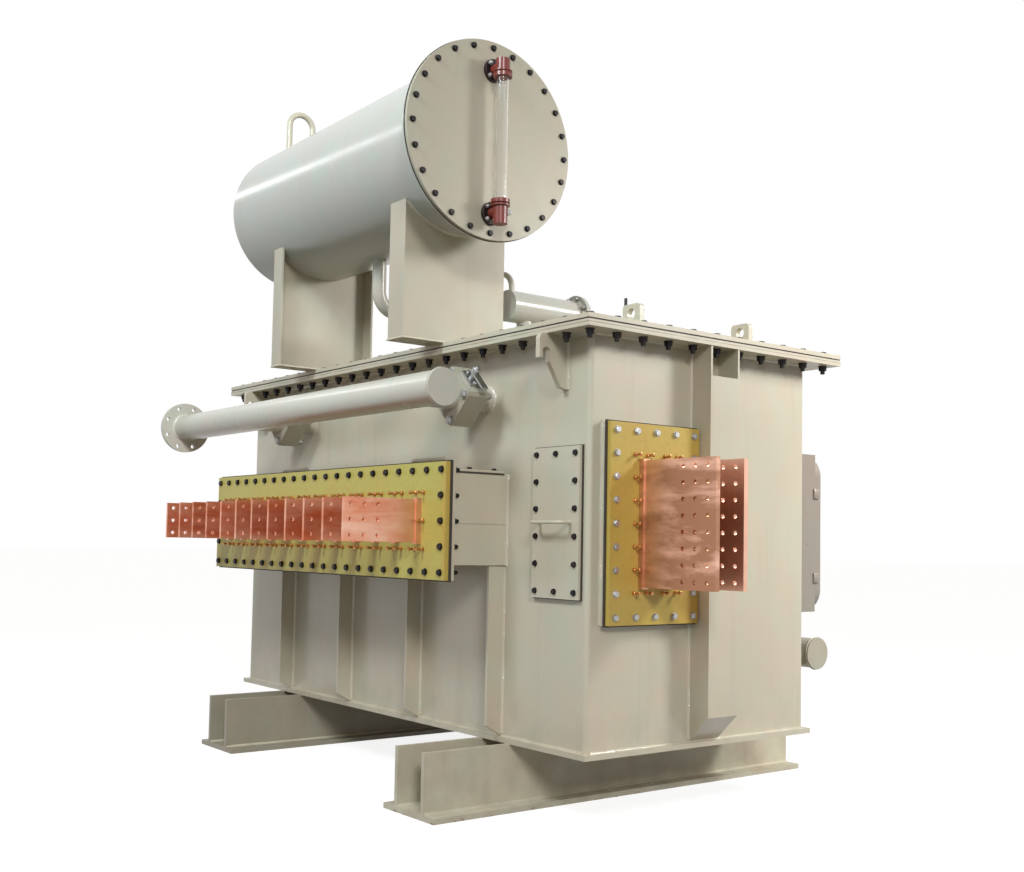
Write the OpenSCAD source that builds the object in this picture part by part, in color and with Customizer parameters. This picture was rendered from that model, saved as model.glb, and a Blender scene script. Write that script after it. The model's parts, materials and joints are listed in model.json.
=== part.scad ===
// Rectifier transformer in an oil tank, with low-voltage bars through two
// insulating boards, a conservator on the cover and two oil header pipes.
// Units are millimetres. Z is up with the floor at zero, X runs along the tank,
// and -Y is the side with the long row of terminals.

/* [Tank] */
// Length of the tank over its end walls
tank_len = 2330; // [2310:5:2500]
// Depth of the tank over its front and back walls
tank_dep = 1032; // [1010:2:1120]
// Height of the walls from the base plate to the flange
wall_h = 1299; // [1280:1:1400]
// Thickness of the wall plates
wall_t = 8; // [5:0.5:12]
// Outer radius of the bent vertical corners
corner_r = 15; // [13:1:30]
// Width of the end wall's return round each corner
corner_return = 40; // [32:1:48]
// Thickness of the base plate
base_t = 17; // [10:1:24]
// How far the base plate stands out past the walls
base_over = 18; // [10:1:30]

/* [Tank flange and cover] */
// How far the flange and cover stand out past the walls
flange_over = 91; // [89:1:110]
// Thickness of the tank flange
flange_t = 20; // [12:1:26]
// Thickness of the cover gasket
gasket_t = 5; // [3:0.5:8]
// How far the gasket's edge stays inside the flange's edge
gasket_inset = 2; // [0:0.5:6]
// Thickness of the cover plate
cover_t = 14; // [10:1:20]

/* [Skids] */
// Height of the skids
skid_h = 208; // [180:1:240]
// Distance between the two skids' centre lines
skid_gauge = 1444; // [1300:2:1600]
// Length of a skid's foot plate
skid_len = 1730; // [1600:2:1900]
// Width of a skid's foot plate
skid_w = 290; // [260:2:330]
// Thickness of a skid's foot plate
skid_foot_t = 18; // [12:1:24]
// Width over a skid's two webs
skid_web_w = 168; // [140:1:190]
// Thickness of a skid's webs
skid_web_t = 16; // [10:1:20]
// How far the webs stop short of the foot plate's ends
skid_web_setback = 2; // [0:1:30]
// Diameter of the foundation holes
foundation_d = 22; // [18:1:30]
// Distance between a skid's two foundation holes
foundation_span = 204; // [150:2:400]

/* [Stiffeners] */
// Distance between neighbouring flats on the long walls
flat_pitch = 494; // [470:2:520]
// Depth of a flat, out from the wall
flat_depth = 65; // [50:1:80]
// Thickness of a flat
flat_t = 10; // [6:1:14]
// Rise of a flat's lower end from the wall to its outer edge
flat_rise = 37; // [20:1:60]
// Width of the box stiffener on each end wall
box_w = 138; // [120:1:150]
// Depth of the box stiffener
box_depth = 88; // [70:1:88]
// Plate thickness of the box stiffener
box_t = 8; // [5:1:12]
// Height of the box stiffener's sloping foot
box_foot = 87; // [60:1:120]
// Height of the open pocket under the flange
box_open = 99; // [60:1:140]

/* [Lifting hooks and lugs] */
// Distance between the hooks along the tank
hook_span = 2096; // [2040:2:2130]
// Thickness of a hook
hook_t = 20; // [14:1:26]
// Reach of a hook, out from the wall
hook_reach = 118; // [110:1:130]
// Height of a hook against the wall
hook_h = 173; // [150:1:200]
// Width of the rope notch
notch_w = 30; // [24:1:34]
// Depth of the notch's round top below the flange
notch_top = 43; // [36:1:50]
// Width of the prong outside the notch
prong_w = 12; // [10:1:18]
// Depth of the prong's end below the flange
prong_drop = 78; // [70:1:88]
// Depth of the hook's inner lip below the flange
lip_drop = 90; // [88:1:110]
// Width of the hook's toe
toe_w = 31; // [20:1:50]
// Height of the toe's outer side above its tip
toe_rise = 8; // [2:1:20]
// Radius of the hook's outer top corner
hook_r = 20; // [10:1:26]
// Distance between the cover lugs along the tank
lug_span_x = 2176; // [2000:2:2220]
// Distance between the cover lugs across the tank
lug_span_y = 530; // [400:2:700]
// Width of a lug
lug_w = 82; // [76:1:100]
// Height of a lug
lug_h = 93; // [86:1:110]
// Thickness of a lug
lug_t = 20; // [14:1:26]
// Diameter of a lug's eye
lug_eye_d = 36; // [28:1:44]
// Height of the eye above the cover
lug_eye_rise = 61; // [56:1:62]
// Radius of a lug's top corners
lug_r = 14; // [6:1:20]

/* [Terminal height] */
// Height of the terminal bars' centre above the base plate
terminal_rise = 707; // [690:1:720]

/* [Front terminal duct] */
// Distance of the duct's centre from the tank's, towards the far end
duct_shift = 84; // [60:1:100]
// Length of the duct
duct_len = 1678; // [1660:2:1700]
// Height of the duct
duct_h = 302; // [290:1:320]
// Height of the duct's centre above the bars' centre
duct_lift = 9; // [0:1:14]
// How far the duct stands out from the wall
duct_reach = 234; // [215:1:280]
// Plate thickness of the duct's sides and bottom
duct_t = 6; // [4:0.5:8]
// Thickness of the duct's top rim
rim_t = 8; // [6:1:12]
// Width of the duct's top rim
rim_w = 45; // [35:1:60]
// Thickness of the gasket under the duct's cover plate
duct_gasket_t = 4; // [3:0.5:6]
// Thickness of the duct's cover plate
duct_cover_t = 8; // [5:1:12]
// Gap between the duct's cover plate and the tank wall
duct_cover_gap = 20; // [10:1:30]

/* [Insulating boards] */
// Width of the front board
board_w = 1735; // [1720:1:1780]
// Height of the front board
board_h = 382; // [370:1:400]
// Thickness of the front flange under the board
board_flange_t = 14; // [10:1:20]
// Width of the end board
end_board_w = 391; // [380:1:400]
// Height of the end board
end_board_h = 633; // [600:1:660]
// Distance of the end board's centre from the tank's, towards the front
end_shift = 270; // [267:1:285]
// Thickness of the end flange under the board
end_flange_t = 19; // [12:1:24]
// Width of the end flange's ring
end_ring_w = 55; // [45:1:62]
// Thickness of the board gaskets
board_gasket_t = 8; // [5:1:10]
// Thickness of the insulating boards
board_t = 16; // [12:1:24]
// Play of a bar in its slot through the board
slot_play = 3; // [1:0.5:3]

/* [Front bars] */
// Number of front bars
bar_count = 12; // [8:1:12]
// Distance between neighbouring front bars
bar_pitch = 130.5; // [110:0.5:132]
// Height of a front bar
bar_h = 141; // [136:1:150]
// Thickness of a front bar
bar_t = 12; // [8:1:16]
// Length of a front bar beyond the board's face
bar_reach = 288; // [240:1:320]
// Length of a front bar behind the board's face
bar_tail = 120; // [60:1:170]
// Distance of the outer holes from a front bar's outer edge
bar_edge = 25; // [20:1:35]
// Number of hole rows in a front bar
bar_rows = 3; // [2:1:3]

/* [End bars] */
// Distance between the two end bars
end_bar_pitch = 122; // [100:1:130]
// Height of an end bar
end_bar_h = 398; // [390:1:420]
// Thickness of an end bar
end_bar_t = 17; // [12:1:20]
// Length of an end bar beyond the board's face
end_bar_reach = 320; // [280:1:360]
// Length of an end bar behind the board's face
end_bar_tail = 130; // [60:1:200]
// Distance of the outer holes from an end bar's outer edge
end_bar_edge = 34.5; // [24:0.5:45]
// Number of hole rows in an end bar
end_bar_rows = 8; // [4:1:8]

/* [Bar holes and collars] */
// Distance between neighbouring holes
hole_pitch = 50; // [40:1:50]
// Number of hole columns in a bar
hole_cols = 3; // [2:1:3]
// Diameter of the bolt holes
hole_d = 14; // [11:0.5:18]
// Width of a collar round its bar
collar_w = 5; // [4:0.5:8]
// Length of a collar along its bar
collar_len = 20; // [10:1:30]

/* [Inspection cover] */
// Distance of the inspection cover from the tank's near end
hatch_end_gap = 27; // [27:1:60]
// Width of the inspection cover
hatch_w = 230; // [220:1:240]
// Height of the inspection cover
hatch_h = 480; // [460:1:500]
// Thickness of the inspection cover
hatch_t = 10; // [6:1:14]
// Thickness of the inspection cover's gasket
hatch_gasket_t = 6; // [3:0.5:8]
// Width of the ring round the opening behind the inspection cover
hatch_ring_w = 50; // [40:1:60]

/* [Rod handles] */
// Diameter of the handle rods
handle_d = 12; // [8:1:14]
// Bend radius of the handles, to the rod's centre
handle_r = 20; // [15:1:22]
// Stand-off of the handles to the rod's outside
handle_h = 52; // [45:1:60]
// Length of a handle on the duct
duct_handle_len = 240; // [160:1:300]
// Distance between the two handles on the duct
duct_handle_span = 1000; // [900:2:1100]
// How far the handles' middle lies from the duct's middle, towards the right end
duct_handle_shift = 38; // [0:1:80]
// Length of the handle on the inspection cover
hatch_handle_len = 158; // [120:1:180]

/* [Oil headers and valves] */
// Outer diameter of the header pipes
header_d = 114; // [102:1:121]
// Wall thickness of the header pipes and stubs
header_t = 6; // [4:0.5:8]
// Depth of the front header's axis below the tank flange
front_header_drop = 168; // [150:1:190]
// Height of the back header's axis above the base plate
back_header_rise = 235; // [190:1:270]
// Distance of a header's flange face from the tank's centre
header_flange_x = 1252; // [1230:1:1300]
// Distance of the front header's capped end from the tank's centre
front_cap_x = 820; // [760:1:900]
// Distance of the back header's capped end from the tank's centre
back_cap_x = 985; // [900:1:1100]
// Diameter of the cap disc
cap_d = 122; // [121:1:130]
// Thickness of the cap disc
cap_t = 8; // [5:1:12]
// Outer diameter of the header flange
header_flange_d = 220; // [210:1:240]
// Thickness of the header flange
header_flange_t = 20; // [14:1:26]
// Bolt circle of the header flange
header_pcd = 180; // [170:1:190]
// Number of holes in the header flange
header_holes = 8; // [4:1:12]
// Diameter of the holes in the header flange
header_hole_d = 18; // [14:1:22]
// Distance between the two valves of a header
valve_span = 1260; // [1200:2:1300]
// Outer diameter of the stubs and necks
stub_d = 89; // [76:1:96]
// Length of a stub between wall and valve
stub_len = 70; // [50:1:90]
// Length of a valve along the flow
valve_len = 84; // [60:1:100]
// Side of a valve body's square
valve_side = 152; // [144:1:170]
// Half-diagonal to a valve body's cut corners
valve_half = 100; // [90:1:101]
// Distance of the header's axis from the valve's face
header_reach = 160; // [130:1:190]

/* [Valve spindles] */
// Length of the gland plate on a valve
gland_len = 74; // [60:1:84]
// Width of the gland plate on a valve
gland_w = 44; // [30:1:54]
// Thickness of the gland plate on a valve
gland_t = 9; // [6:1:12]
// Diameter of a valve's spindle
spindle_d = 18; // [12:1:24]
// Height of a valve's spindle above the gland plate
spindle_h = 26; // [18:1:36]
// Length of a valve's lever
lever_len = 96; // [70:1:120]
// Width of a valve's lever
lever_w = 24; // [19:1:30]
// Thickness of a valve's lever
lever_t = 7; // [4:1:10]

/* [Conservator] */
// Outer diameter of the conservator's shell
shell_d = 586; // [560:2:640]
// Plate thickness of the shell
shell_t = 6; // [4:0.5:8]
// How far the end plate and its flange ring stand out past the shell
end_lip = 53; // [44:1:70]
// Thickness of the end plate
end_plate_t = 13; // [8:1:18]
// Thickness of the end plate's gasket
end_gasket_t = 4; // [2:0.5:6]
// Thickness of the shell's flange ring
shell_ring_t = 12; // [8:1:16]
// Height of the conservator's axis above the cover
cons_rise = 684; // [660:1:720]
// Distance of the conservator's axis from the tank's centre, towards the front
cons_y = 556; // [540:1:600]
// Distance of the end plate's face from the tank's centre
cons_face_x = 678; // [620:1:720]
// Length from the end plate's face to the far disc
cons_len = 1435; // [1380:1:1500]
// Thickness of the far disc
far_disc_t = 8; // [6:1:12]

/* [Conservator supports] */
// Distance of the near support's outer face from the tank's centre
support_near_x = 479; // [460:1:500]
// Distance of the far support's outer face from the tank's centre
support_far_x = 517; // [480:1:540]
// Width of a support across the conservator
support_w = 430; // [400:1:460]
// Depth of the near support's side flanges
near_depth = 99; // [70:1:120]
// Depth of the far support's side flanges
far_depth = 73; // [60:1:120]
// Plate thickness of the supports
support_t = 8; // [6:1:12]

/* [Conservator hoop and pipe] */
// Bar diameter of the lifting hoop
hoop_d = 25; // [18:1:32]
// Outer width of the lifting hoop
hoop_w = 136; // [120:1:160]
// Height of the hoop's top above the shell
hoop_h = 195; // [160:1:220]
// Distance of the hoop from the far end of the shell
hoop_inset = 26; // [24:1:60]
// Outer diameter of the connecting pipe
drop_d = 54; // [42:1:60]
// Wall thickness of the connecting pipe
drop_t = 4; // [3:0.5:6]
// Distance of the connecting pipe from the tank's centre, towards the far end
drop_x = 40; // [0:1:80]
// Height of the connecting pipe's level run above the cover
drop_run_rise = 195; // [170:1:220]
// Bend radius of the connecting pipe
drop_r = 77; // [60:1:86]
// Distance of the pipe's lower end from the tank's centre, towards the front
drop_end_y = 160; // [100:1:200]

/* [Oil gauge] */
// Outer diameter of the gauge glass
glass_d = 45; // [36:1:50]
// Wall thickness of the gauge glass
glass_t = 4; // [2:0.5:5]
// Length of the gauge glass
glass_len = 424; // [380:1:430]
// Height of the gauge's middle above the conservator's axis
gauge_lift = -8; // [-14:1:6]
// Distance of the glass's axis from the end plate
gauge_off = 57; // [50:1:64]
// Diameter of the gauge's tube flanges
gauge_flange_d = 66; // [56:1:72]
// Thickness of the gauge's tube flanges
gauge_flange_t = 13; // [8:1:16]
// Diameter of the gauge's fitting bodies
gauge_body_d = 50; // [40:1:54]
// Diameter of the arms between bodies and end plate
gauge_arm_d = 40; // [30:1:40]
// Diameter of the gauge's mounting discs
gauge_disc_d = 78; // [70:1:86]
// Thickness of the gauge's mounting discs
gauge_disc_t = 12; // [8:1:16]
// Distance of an arm's axis from the glass's end
gauge_arm_rise = 38; // [34:1:42]
// Height of the upper body beyond the arm's axis
gauge_cap_h = 25; // [21:1:32]
// Length of the lower body beyond the arm's axis
gauge_drain_h = 46; // [30:1:60]

/* [Cover header] */
// Distance of the cover header from the tank's centre
relief_x = 450; // [420:1:480]
// Outer diameter of the cover header
relief_d = 117; // [102:1:121]
// Wall thickness of the cover header
relief_t = 5; // [4:0.5:8]
// Height of the cover header's axis above the cover
relief_rise = 177; // [160:1:200]
// Distance of its capped end from the tank's centre, towards the front
relief_cap_y = 305; // [290:1:320]
// Distance of its flanged end from the tank's centre, towards the back
relief_flange_y = 38; // [20:1:80]
// Diameter of its end flange
relief_flange_d = 164; // [150:1:180]
// Thickness of its end flange
relief_flange_t = 16; // [10:1:20]
// Bolt circle of its end flange
relief_pcd = 141; // [136:1:148]
// Number of bolt holes in its end flange
relief_holes = 8; // [4:1:12]
// Diameter of the bolt holes in its end flange
relief_hole_d = 11; // [9:1:12]
// Outer diameter of its two feet
relief_foot_d = 60; // [48:1:70]
// Distance between its two feet
relief_foot_span = 170; // [140:1:190]
// Outer diameter of the vent pipe
vent_d = 22; // [18:1:28]
// Bend radius of the vent pipe
vent_r = 60; // [50:1:66]
// Height of the vent pipe's level run above the cover
vent_run_rise = 305; // [296:1:320]
// How far the vent riser's axis lies inside the shell's widest line
vent_bite = 18; // [15:1:24]
// Distance of the vent pipe's riser from the tank's centre
vent_riser_x = 150; // [100:1:240]
// How far below the conservator's axis the vent pipe ends, inside the shell
vent_end = 45; // [38:1:60]

/* [Control cabinet] */
// Gap between the cabinet's right side and the tank's right end
cab_end_gap = 65; // [30:1:110]
// Width of the cabinet
cab_w = 420; // [380:1:460]
// Height of the cabinet
cab_h = 582; // [540:1:620]
// Depth of the cabinet's body
cab_d = 148; // [120:1:180]
// Depth of the cabinet's door
door_d = 32; // [24:1:40]
// Sheet thickness of the cabinet
cab_t = 3; // [2:0.5:5]
// Corner radius of the door
door_r = 80; // [60:1:100]
// Height of the cabinet's underside above the base plate
cab_rise = 406; // [360:1:430]
// Width of the rim round the cabinet's mouth
cab_rim = 40; // [30:1:60]

/* [Hidden] */
$fn = 96;

STEEL = [0.76, 0.74, 0.68];
RUBBER = [0.08, 0.08, 0.08];
BOARD = [0.72, 0.71, 0.25];
COPPER = [0.80, 0.48, 0.36];
ZINC = [0.70, 0.71, 0.72];
OXIDE_RED = [0.52, 0.16, 0.12];
CLEAR = [0.85, 0.90, 0.92, 0.4];

// Reach of a cut past the faces it opens
cut = 1;
half_len = tank_len / 2;
half_dep = tank_dep / 2;
wall_z = skid_h + base_t;
flange_z = wall_z + wall_h;
gasket_z = flange_z + flange_t;
cover_z = gasket_z + gasket_t;
top_z = cover_z + cover_t;
terminal_z = wall_z + terminal_rise;

duct_x = -duct_shift;
duct_z = terminal_z + duct_lift;
duct_low = duct_z - duct_h / 2;
duct_top = duct_z + duct_h / 2;
duct_front = -half_dep - duct_reach;
duct_cover_z = duct_top + duct_gasket_t;
duct_mouth_len = duct_len - 2 * duct_t;
duct_mouth_low = duct_low + duct_t;
duct_mouth_top = duct_top - rim_t;

board_gasket_y = duct_front - board_flange_t;
board_back = board_gasket_y - board_gasket_t;
board_face = board_back - board_t;
end_gasket_x = half_len + end_flange_t;
end_board_back = end_gasket_x + board_gasket_t;
end_board_face = end_board_back + board_t;

hatch_x = half_len - hatch_end_gap - hatch_w / 2;
hatch_y = -half_dep - hatch_gasket_t;
hatch_face = hatch_y - hatch_t;

front_header_z = flange_z - front_header_drop;
back_header_z = wall_z + back_header_rise;
valve_wall_side = half_dep + stub_len;
valve_face = valve_wall_side + valve_len;
header_y = valve_face + header_reach;
stub_bore = stub_d - 2 * header_t;

cons_z = top_z + cons_rise;
end_plate_d = shell_d + 2 * end_lip;
ring_x = cons_face_x - end_plate_t - end_gasket_t;
shell_far_x = cons_face_x - cons_len;
gauge_x = cons_face_x + gauge_off;
gauge_z = cons_z + gauge_lift;
relief_z = top_z + relief_rise;
vent_y = -cons_y + shell_d / 2 - vent_bite;
cab_low = wall_z + cab_rise;
cab_front = half_dep + cab_d;
cab_x = half_len - cab_end_gap;

flats = [-1.5, -0.5, 0.5, 1.5];
sides = [-1, 1];

function bar_x(i) = duct_x + (i - (bar_count - 1) / 2) * bar_pitch;

// A block between two opposite corners
module slab(low, high) {
    translate(low)
        cube(high - low);
}

// A profile drawn in Y and Z, carried along X
module along_x(x0, x1) {
    translate([x0, 0, 0])
        rotate([90, 0, 90])
            linear_extrude(x1 - x0)
                children();
}

// A profile drawn in X and Z, carried along Y
module along_y(y0, y1) {
    translate([0, y1, 0])
        rotate([90, 0, 0])
            linear_extrude(y1 - y0)
                children();
}

// A profile drawn in X and Y, carried along Z
module along_z(z0, z1) {
    translate([0, 0, z0])
        linear_extrude(z1 - z0)
            children();
}

module rod_x(d, x0, x1) {
    translate([x0, 0, 0])
        rotate([0, 90, 0])
            cylinder(d = d, h = x1 - x0);
}

module rod_y(d, y0, y1) {
    translate([0, y0, 0])
        rotate([-90, 0, 0])
            cylinder(d = d, h = y1 - y0);
}

module rod_z(d, z0, z1) {
    translate([0, 0, z0])
        cylinder(d = d, h = z1 - z0);
}

// A quarter bend in X and Z, from the angle start towards +Z from +X
module bend_xz(r, d, start) {
    rotate([90, 0, 0])
        rotate([0, 0, start])
            rotate_extrude(angle = 90)
                translate([r, 0])
                    circle(d = d);
}

// A quarter bend in Y and Z, from the angle start towards +Z from +Y
module bend_yz(r, d, start) {
    rotate([0, 0, 90])
        bend_xz(r, d, start);
}

module box_2d(w, h) {
    square([w, h], center = true);
}

module rounded_2d(w, h, r) {
    box_2d(w - 2 * r, h);
    box_2d(w, h - 2 * r);
    for (x = sides, y = sides)
        translate([x * (w / 2 - r), y * (h / 2 - r)])
            circle(r = r);
}

module ring_2d(w, h, opening_w, opening_h) {
    difference() {
        box_2d(w, h);
        box_2d(opening_w, opening_h);
    }
}

// A flange's bolt holes, drilled along X
module flange_holes_x(count, pcd, d, x0, x1) {
    for (i = [0 : count - 1])
        rotate([(i + 0.5) * 360 / count, 0, 0])
            translate([0, 0, pcd / 2])
                rod_x(d, x0 - cut, x1 + cut);
}

// Skids
module skid(x) {
    web_end = skid_len / 2 - skid_web_setback;
    hole_x = (skid_w + skid_web_w) / 4;
    translate([x, 0, 0]) {
        difference() {
            slab([-skid_w / 2, -skid_len / 2, 0], [skid_w / 2, skid_len / 2, skid_foot_t]);
            for (y = sides)
                translate([sign(x) * hole_x, y * foundation_span / 2, 0])
                    rod_z(foundation_d, -cut, skid_foot_t + cut);
        }
        for (s = sides)
            translate([s * (skid_web_w - skid_web_t) / 2, 0, 0])
                slab([-skid_web_t / 2, -web_end, skid_foot_t], [skid_web_t / 2, web_end, skid_h]);
    }
}

module skid_right() {
    color(STEEL)
        skid(skid_gauge / 2);
}

module skid_left() {
    color(STEEL)
        skid(-skid_gauge / 2);
}

// Tank shell
module tank_base_plate() {
    color(STEEL)
        along_z(skid_h, wall_z)
            box_2d(tank_len + 2 * base_over, tank_dep + 2 * base_over);
}

// A long wall's plate, drawn in X and Z, from the base plate to the flange
module long_wall_2d() {
    translate([-half_len + corner_return, wall_z])
        square([tank_len - 2 * corner_return, wall_h]);
}

module stub_bores_2d(z) {
    for (s = sides)
        translate([s * valve_span / 2, z])
            circle(d = stub_bore);
}

module tank_front_wall() {
    color(STEEL)
        along_y(-half_dep, -half_dep + wall_t)
            difference() {
                long_wall_2d();
                translate([duct_x - duct_mouth_len / 2, duct_mouth_low])
                    square([duct_mouth_len, duct_mouth_top - duct_mouth_low]);
                translate([hatch_x, terminal_z])
                    box_2d(hatch_w - 2 * hatch_ring_w, hatch_h - 2 * hatch_ring_w);
                stub_bores_2d(front_header_z);
            }
}

module tank_back_wall() {
    color(STEEL)
        along_y(half_dep - wall_t, half_dep)
            difference() {
                long_wall_2d();
                stub_bores_2d(back_header_z);
            }
}

// An end wall with its two bent corners, for the end that side names
module end_wall(side) {
    reach = half_len - corner_return;
    mirror([side < 0 ? 1 : 0, 0, 0])
        along_z(wall_z, flange_z)
            intersection() {
                difference() {
                    rounded_2d(tank_len, tank_dep, corner_r);
                    rounded_2d(tank_len - 2 * wall_t, tank_dep - 2 * wall_t, corner_r - wall_t);
                }
                translate([reach, -half_dep])
                    square([corner_return, tank_dep]);
            }
}

module tank_right_end_wall() {
    color(STEEL)
        difference() {
            end_wall(1);
            along_x(half_len - wall_t - cut, half_len + cut)
                translate([-end_shift, terminal_z])
                    box_2d(end_board_w - 2 * end_ring_w, end_board_h - 2 * end_ring_w);
        }
}

module tank_left_end_wall() {
    color(STEEL)
        end_wall(-1);
}

module flange_plan(inset) {
    box_2d(tank_len + 2 * (flange_over - inset), tank_dep + 2 * (flange_over - inset));
}

module flange_ring(inset) {
    difference() {
        flange_plan(inset);
        rounded_2d(tank_len - 2 * wall_t, tank_dep - 2 * wall_t, corner_r - wall_t);
    }
}

module tank_flange() {
    color(STEEL)
        along_z(flange_z, gasket_z)
            flange_ring(0);
}

module cover_gasket() {
    color(RUBBER)
        along_z(gasket_z, cover_z)
            flange_ring(gasket_inset);
}

module cover_plate() {
    color(STEEL)
        difference() {
            along_z(cover_z, top_z)
                flange_plan(0);
            translate([-drop_x, -drop_end_y, 0])
                rod_z(drop_d - 2 * drop_t, cover_z - cut, top_z + cut);
            for (y = relief_feet_y())
                translate([relief_x, y, 0])
                    rod_z(relief_foot_d - 2 * relief_t, cover_z - cut, top_z + cut);
        }
}

// Stiffeners
// One flat on the front wall, drawn out from the wall at zero, up to the height top
module flat_profile(top) {
    polygon([[0, wall_z], [flat_depth, wall_z + flat_rise], [flat_depth, top], [0, top]]);
}

module wall_stiffeners() {
    color(STEEL)
        for (i = flats) {
            x = i * flat_pitch;
            back_top = x > cab_x - cab_w - flat_t && x < cab_x ? cab_low : flange_z;
            along_x(x - flat_t / 2, x + flat_t / 2) {
                translate([-half_dep, 0])
                    mirror([1, 0])
                        flat_profile(duct_low);
                translate([half_dep, 0])
                    flat_profile(back_top);
            }
        }
}

// The side plate of a box stiffener, drawn out from the end wall at zero
module box_side_2d() {
    polygon([[0, wall_z], [box_depth, wall_z + box_foot], [box_depth, flange_z], [0, flange_z]]);
}

module box_stiffener() {
    slope_t = box_t * sqrt(box_depth * box_depth + box_foot * box_foot) / box_depth;
    translate([half_len, 0, 0]) {
        for (s = sides)
            translate([0, s * (box_w - box_t) / 2, 0])
                along_y(-box_t / 2, box_t / 2)
                    box_side_2d();
        slab([box_depth - box_t, -box_w / 2, wall_z + box_foot],
             [box_depth, box_w / 2, flange_z - box_open]);
        along_y(-box_w / 2, box_w / 2)
            polygon([
                [0, wall_z],
                [box_depth, wall_z + box_foot],
                [box_depth, wall_z + box_foot + slope_t],
                [0, wall_z + slope_t]
            ]);
    }
}

module end_box_stiffeners() {
    color(STEEL)
        for (m = [0, 1])
            mirror([m, 0, 0])
                box_stiffener();
}

// Lifting points
// A hook, drawn out from the wall at zero and down from the flange at zero
module hook_profile() {
    notch_r = notch_w / 2;
    notch_out = hook_reach - prong_w;
    notch_in = notch_out - notch_w;
    difference() {
        union() {
            polygon([
                [0, 0],
                [hook_reach - hook_r, 0],
                [hook_reach, -hook_r],
                [hook_reach, -prong_drop],
                [notch_in, -prong_drop],
                [notch_in, -lip_drop],
                [toe_w, -hook_h + toe_rise],
                [0, -hook_h]
            ]);
            translate([hook_reach - hook_r, -hook_r])
                circle(r = hook_r);
        }
        translate([notch_in + notch_r, -notch_top - notch_r])
            circle(r = notch_r);
        translate([notch_in, -hook_h])
            square([notch_w, hook_h - notch_top - notch_r]);
    }
}

module tank_lifting_hooks() {
    color(STEEL)
        for (x = sides, back = [0, 1])
            mirror([0, back, 0])
                translate([x * hook_span / 2, -half_dep, flange_z])
                    along_x(-hook_t / 2, hook_t / 2)
                        mirror([1, 0])
                            hook_profile();
}

module lug_profile() {
    translate([-lug_w / 2, 0])
        square([lug_w, lug_h - lug_r]);
    translate([-lug_w / 2 + lug_r, 0])
        square([lug_w - 2 * lug_r, lug_h]);
    for (s = sides)
        translate([s * (lug_w / 2 - lug_r), lug_h - lug_r])
            circle(r = lug_r);
}

module cover_lifting_lugs() {
    color(STEEL)
        for (x = sides, y = sides)
            translate([x * lug_span_x / 2, y * lug_span_y / 2, top_z])
                difference() {
                    along_y(-lug_t / 2, lug_t / 2)
                        lug_profile();
                    translate([0, 0, lug_eye_rise])
                        rod_y(lug_eye_d, -lug_t / 2 - cut, lug_t / 2 + cut);
                }
}

// Front terminal duct
module duct_top_opening_2d() {
    translate([duct_x - duct_len / 2 + rim_w, duct_front + rim_w])
        square([duct_len - 2 * rim_w, duct_reach - 2 * rim_w - duct_cover_gap]);
}

module duct_top_plan() {
    translate([duct_x - duct_len / 2, duct_front])
        square([duct_len, duct_reach - duct_cover_gap]);
}

module terminal_duct() {
    color(STEEL)
        difference() {
            slab([duct_x - duct_len / 2, duct_front, duct_low],
                 [duct_x + duct_len / 2, -half_dep, duct_top]);
            slab([duct_x - duct_mouth_len / 2, duct_front - cut, duct_mouth_low],
                 [duct_x + duct_mouth_len / 2, -half_dep + cut, duct_mouth_top]);
            along_z(duct_mouth_top - cut, duct_top + cut)
                duct_top_opening_2d();
        }
}

module duct_flange() {
    color(STEEL)
        along_y(board_gasket_y, duct_front)
            front_ring_2d();
}

// The ring shared by the duct's flange and the board's gasket, in X and Z
module front_ring_2d() {
    difference() {
        translate([duct_x, terminal_z])
            box_2d(board_w, board_h);
        translate([duct_x - duct_mouth_len / 2, duct_mouth_low])
            square([duct_mouth_len, duct_mouth_top - duct_mouth_low]);
    }
}

// The ring shared by the end flange and its gasket, in Y and Z
module end_ring_2d() {
    translate([-end_shift, terminal_z])
        ring_2d(end_board_w, end_board_h, end_board_w - 2 * end_ring_w, end_board_h - 2 * end_ring_w);
}

module duct_top_cover() {
    color(STEEL)
        along_z(duct_cover_z, duct_cover_z + duct_cover_t)
            duct_top_plan();
}

module board_gaskets() {
    color(RUBBER) {
        along_y(board_back, board_gasket_y)
            front_ring_2d();
        along_x(end_gasket_x, end_board_back)
            end_ring_2d();
    }
}

module small_cover_gaskets() {
    color(RUBBER) {
        along_z(duct_top, duct_cover_z)
            difference() {
                duct_top_plan();
                duct_top_opening_2d();
            }
        along_y(hatch_y, -half_dep)
            translate([hatch_x, terminal_z])
                ring_2d(hatch_w, hatch_h, hatch_w - 2 * hatch_ring_w, hatch_h - 2 * hatch_ring_w);
    }
}

module front_terminal_board() {
    color(BOARD)
        along_y(board_face, board_back)
            difference() {
                translate([duct_x, terminal_z])
                    box_2d(board_w, board_h);
                for (i = [0 : bar_count - 1])
                    translate([bar_x(i), terminal_z])
                        box_2d(bar_t + 2 * slot_play, bar_h + 2 * slot_play);
            }
}

// Bolt holes of a bar, drilled along X from x0 to x1, going in from y_edge
module bar_holes(y_edge, dir, rows, x0, x1) {
    for (c = [0 : hole_cols - 1], r = [0 : rows - 1])
        translate([0, y_edge + dir * c * hole_pitch, (r - (rows - 1) / 2) * hole_pitch])
            rod_x(hole_d, x0 - cut, x1 + cut);
}

module front_bar() {
    y_out = board_face - bar_reach;
    difference() {
        slab([-bar_t / 2, y_out, -bar_h / 2], [bar_t / 2, board_face + bar_tail, bar_h / 2]);
        bar_holes(y_out + bar_edge, 1, bar_rows, -bar_t / 2, bar_t / 2);
    }
}

module front_busbars() {
    color(COPPER)
        for (i = [0 : bar_count - 1])
            translate([bar_x(i), 0, terminal_z])
                front_bar();
}

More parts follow.
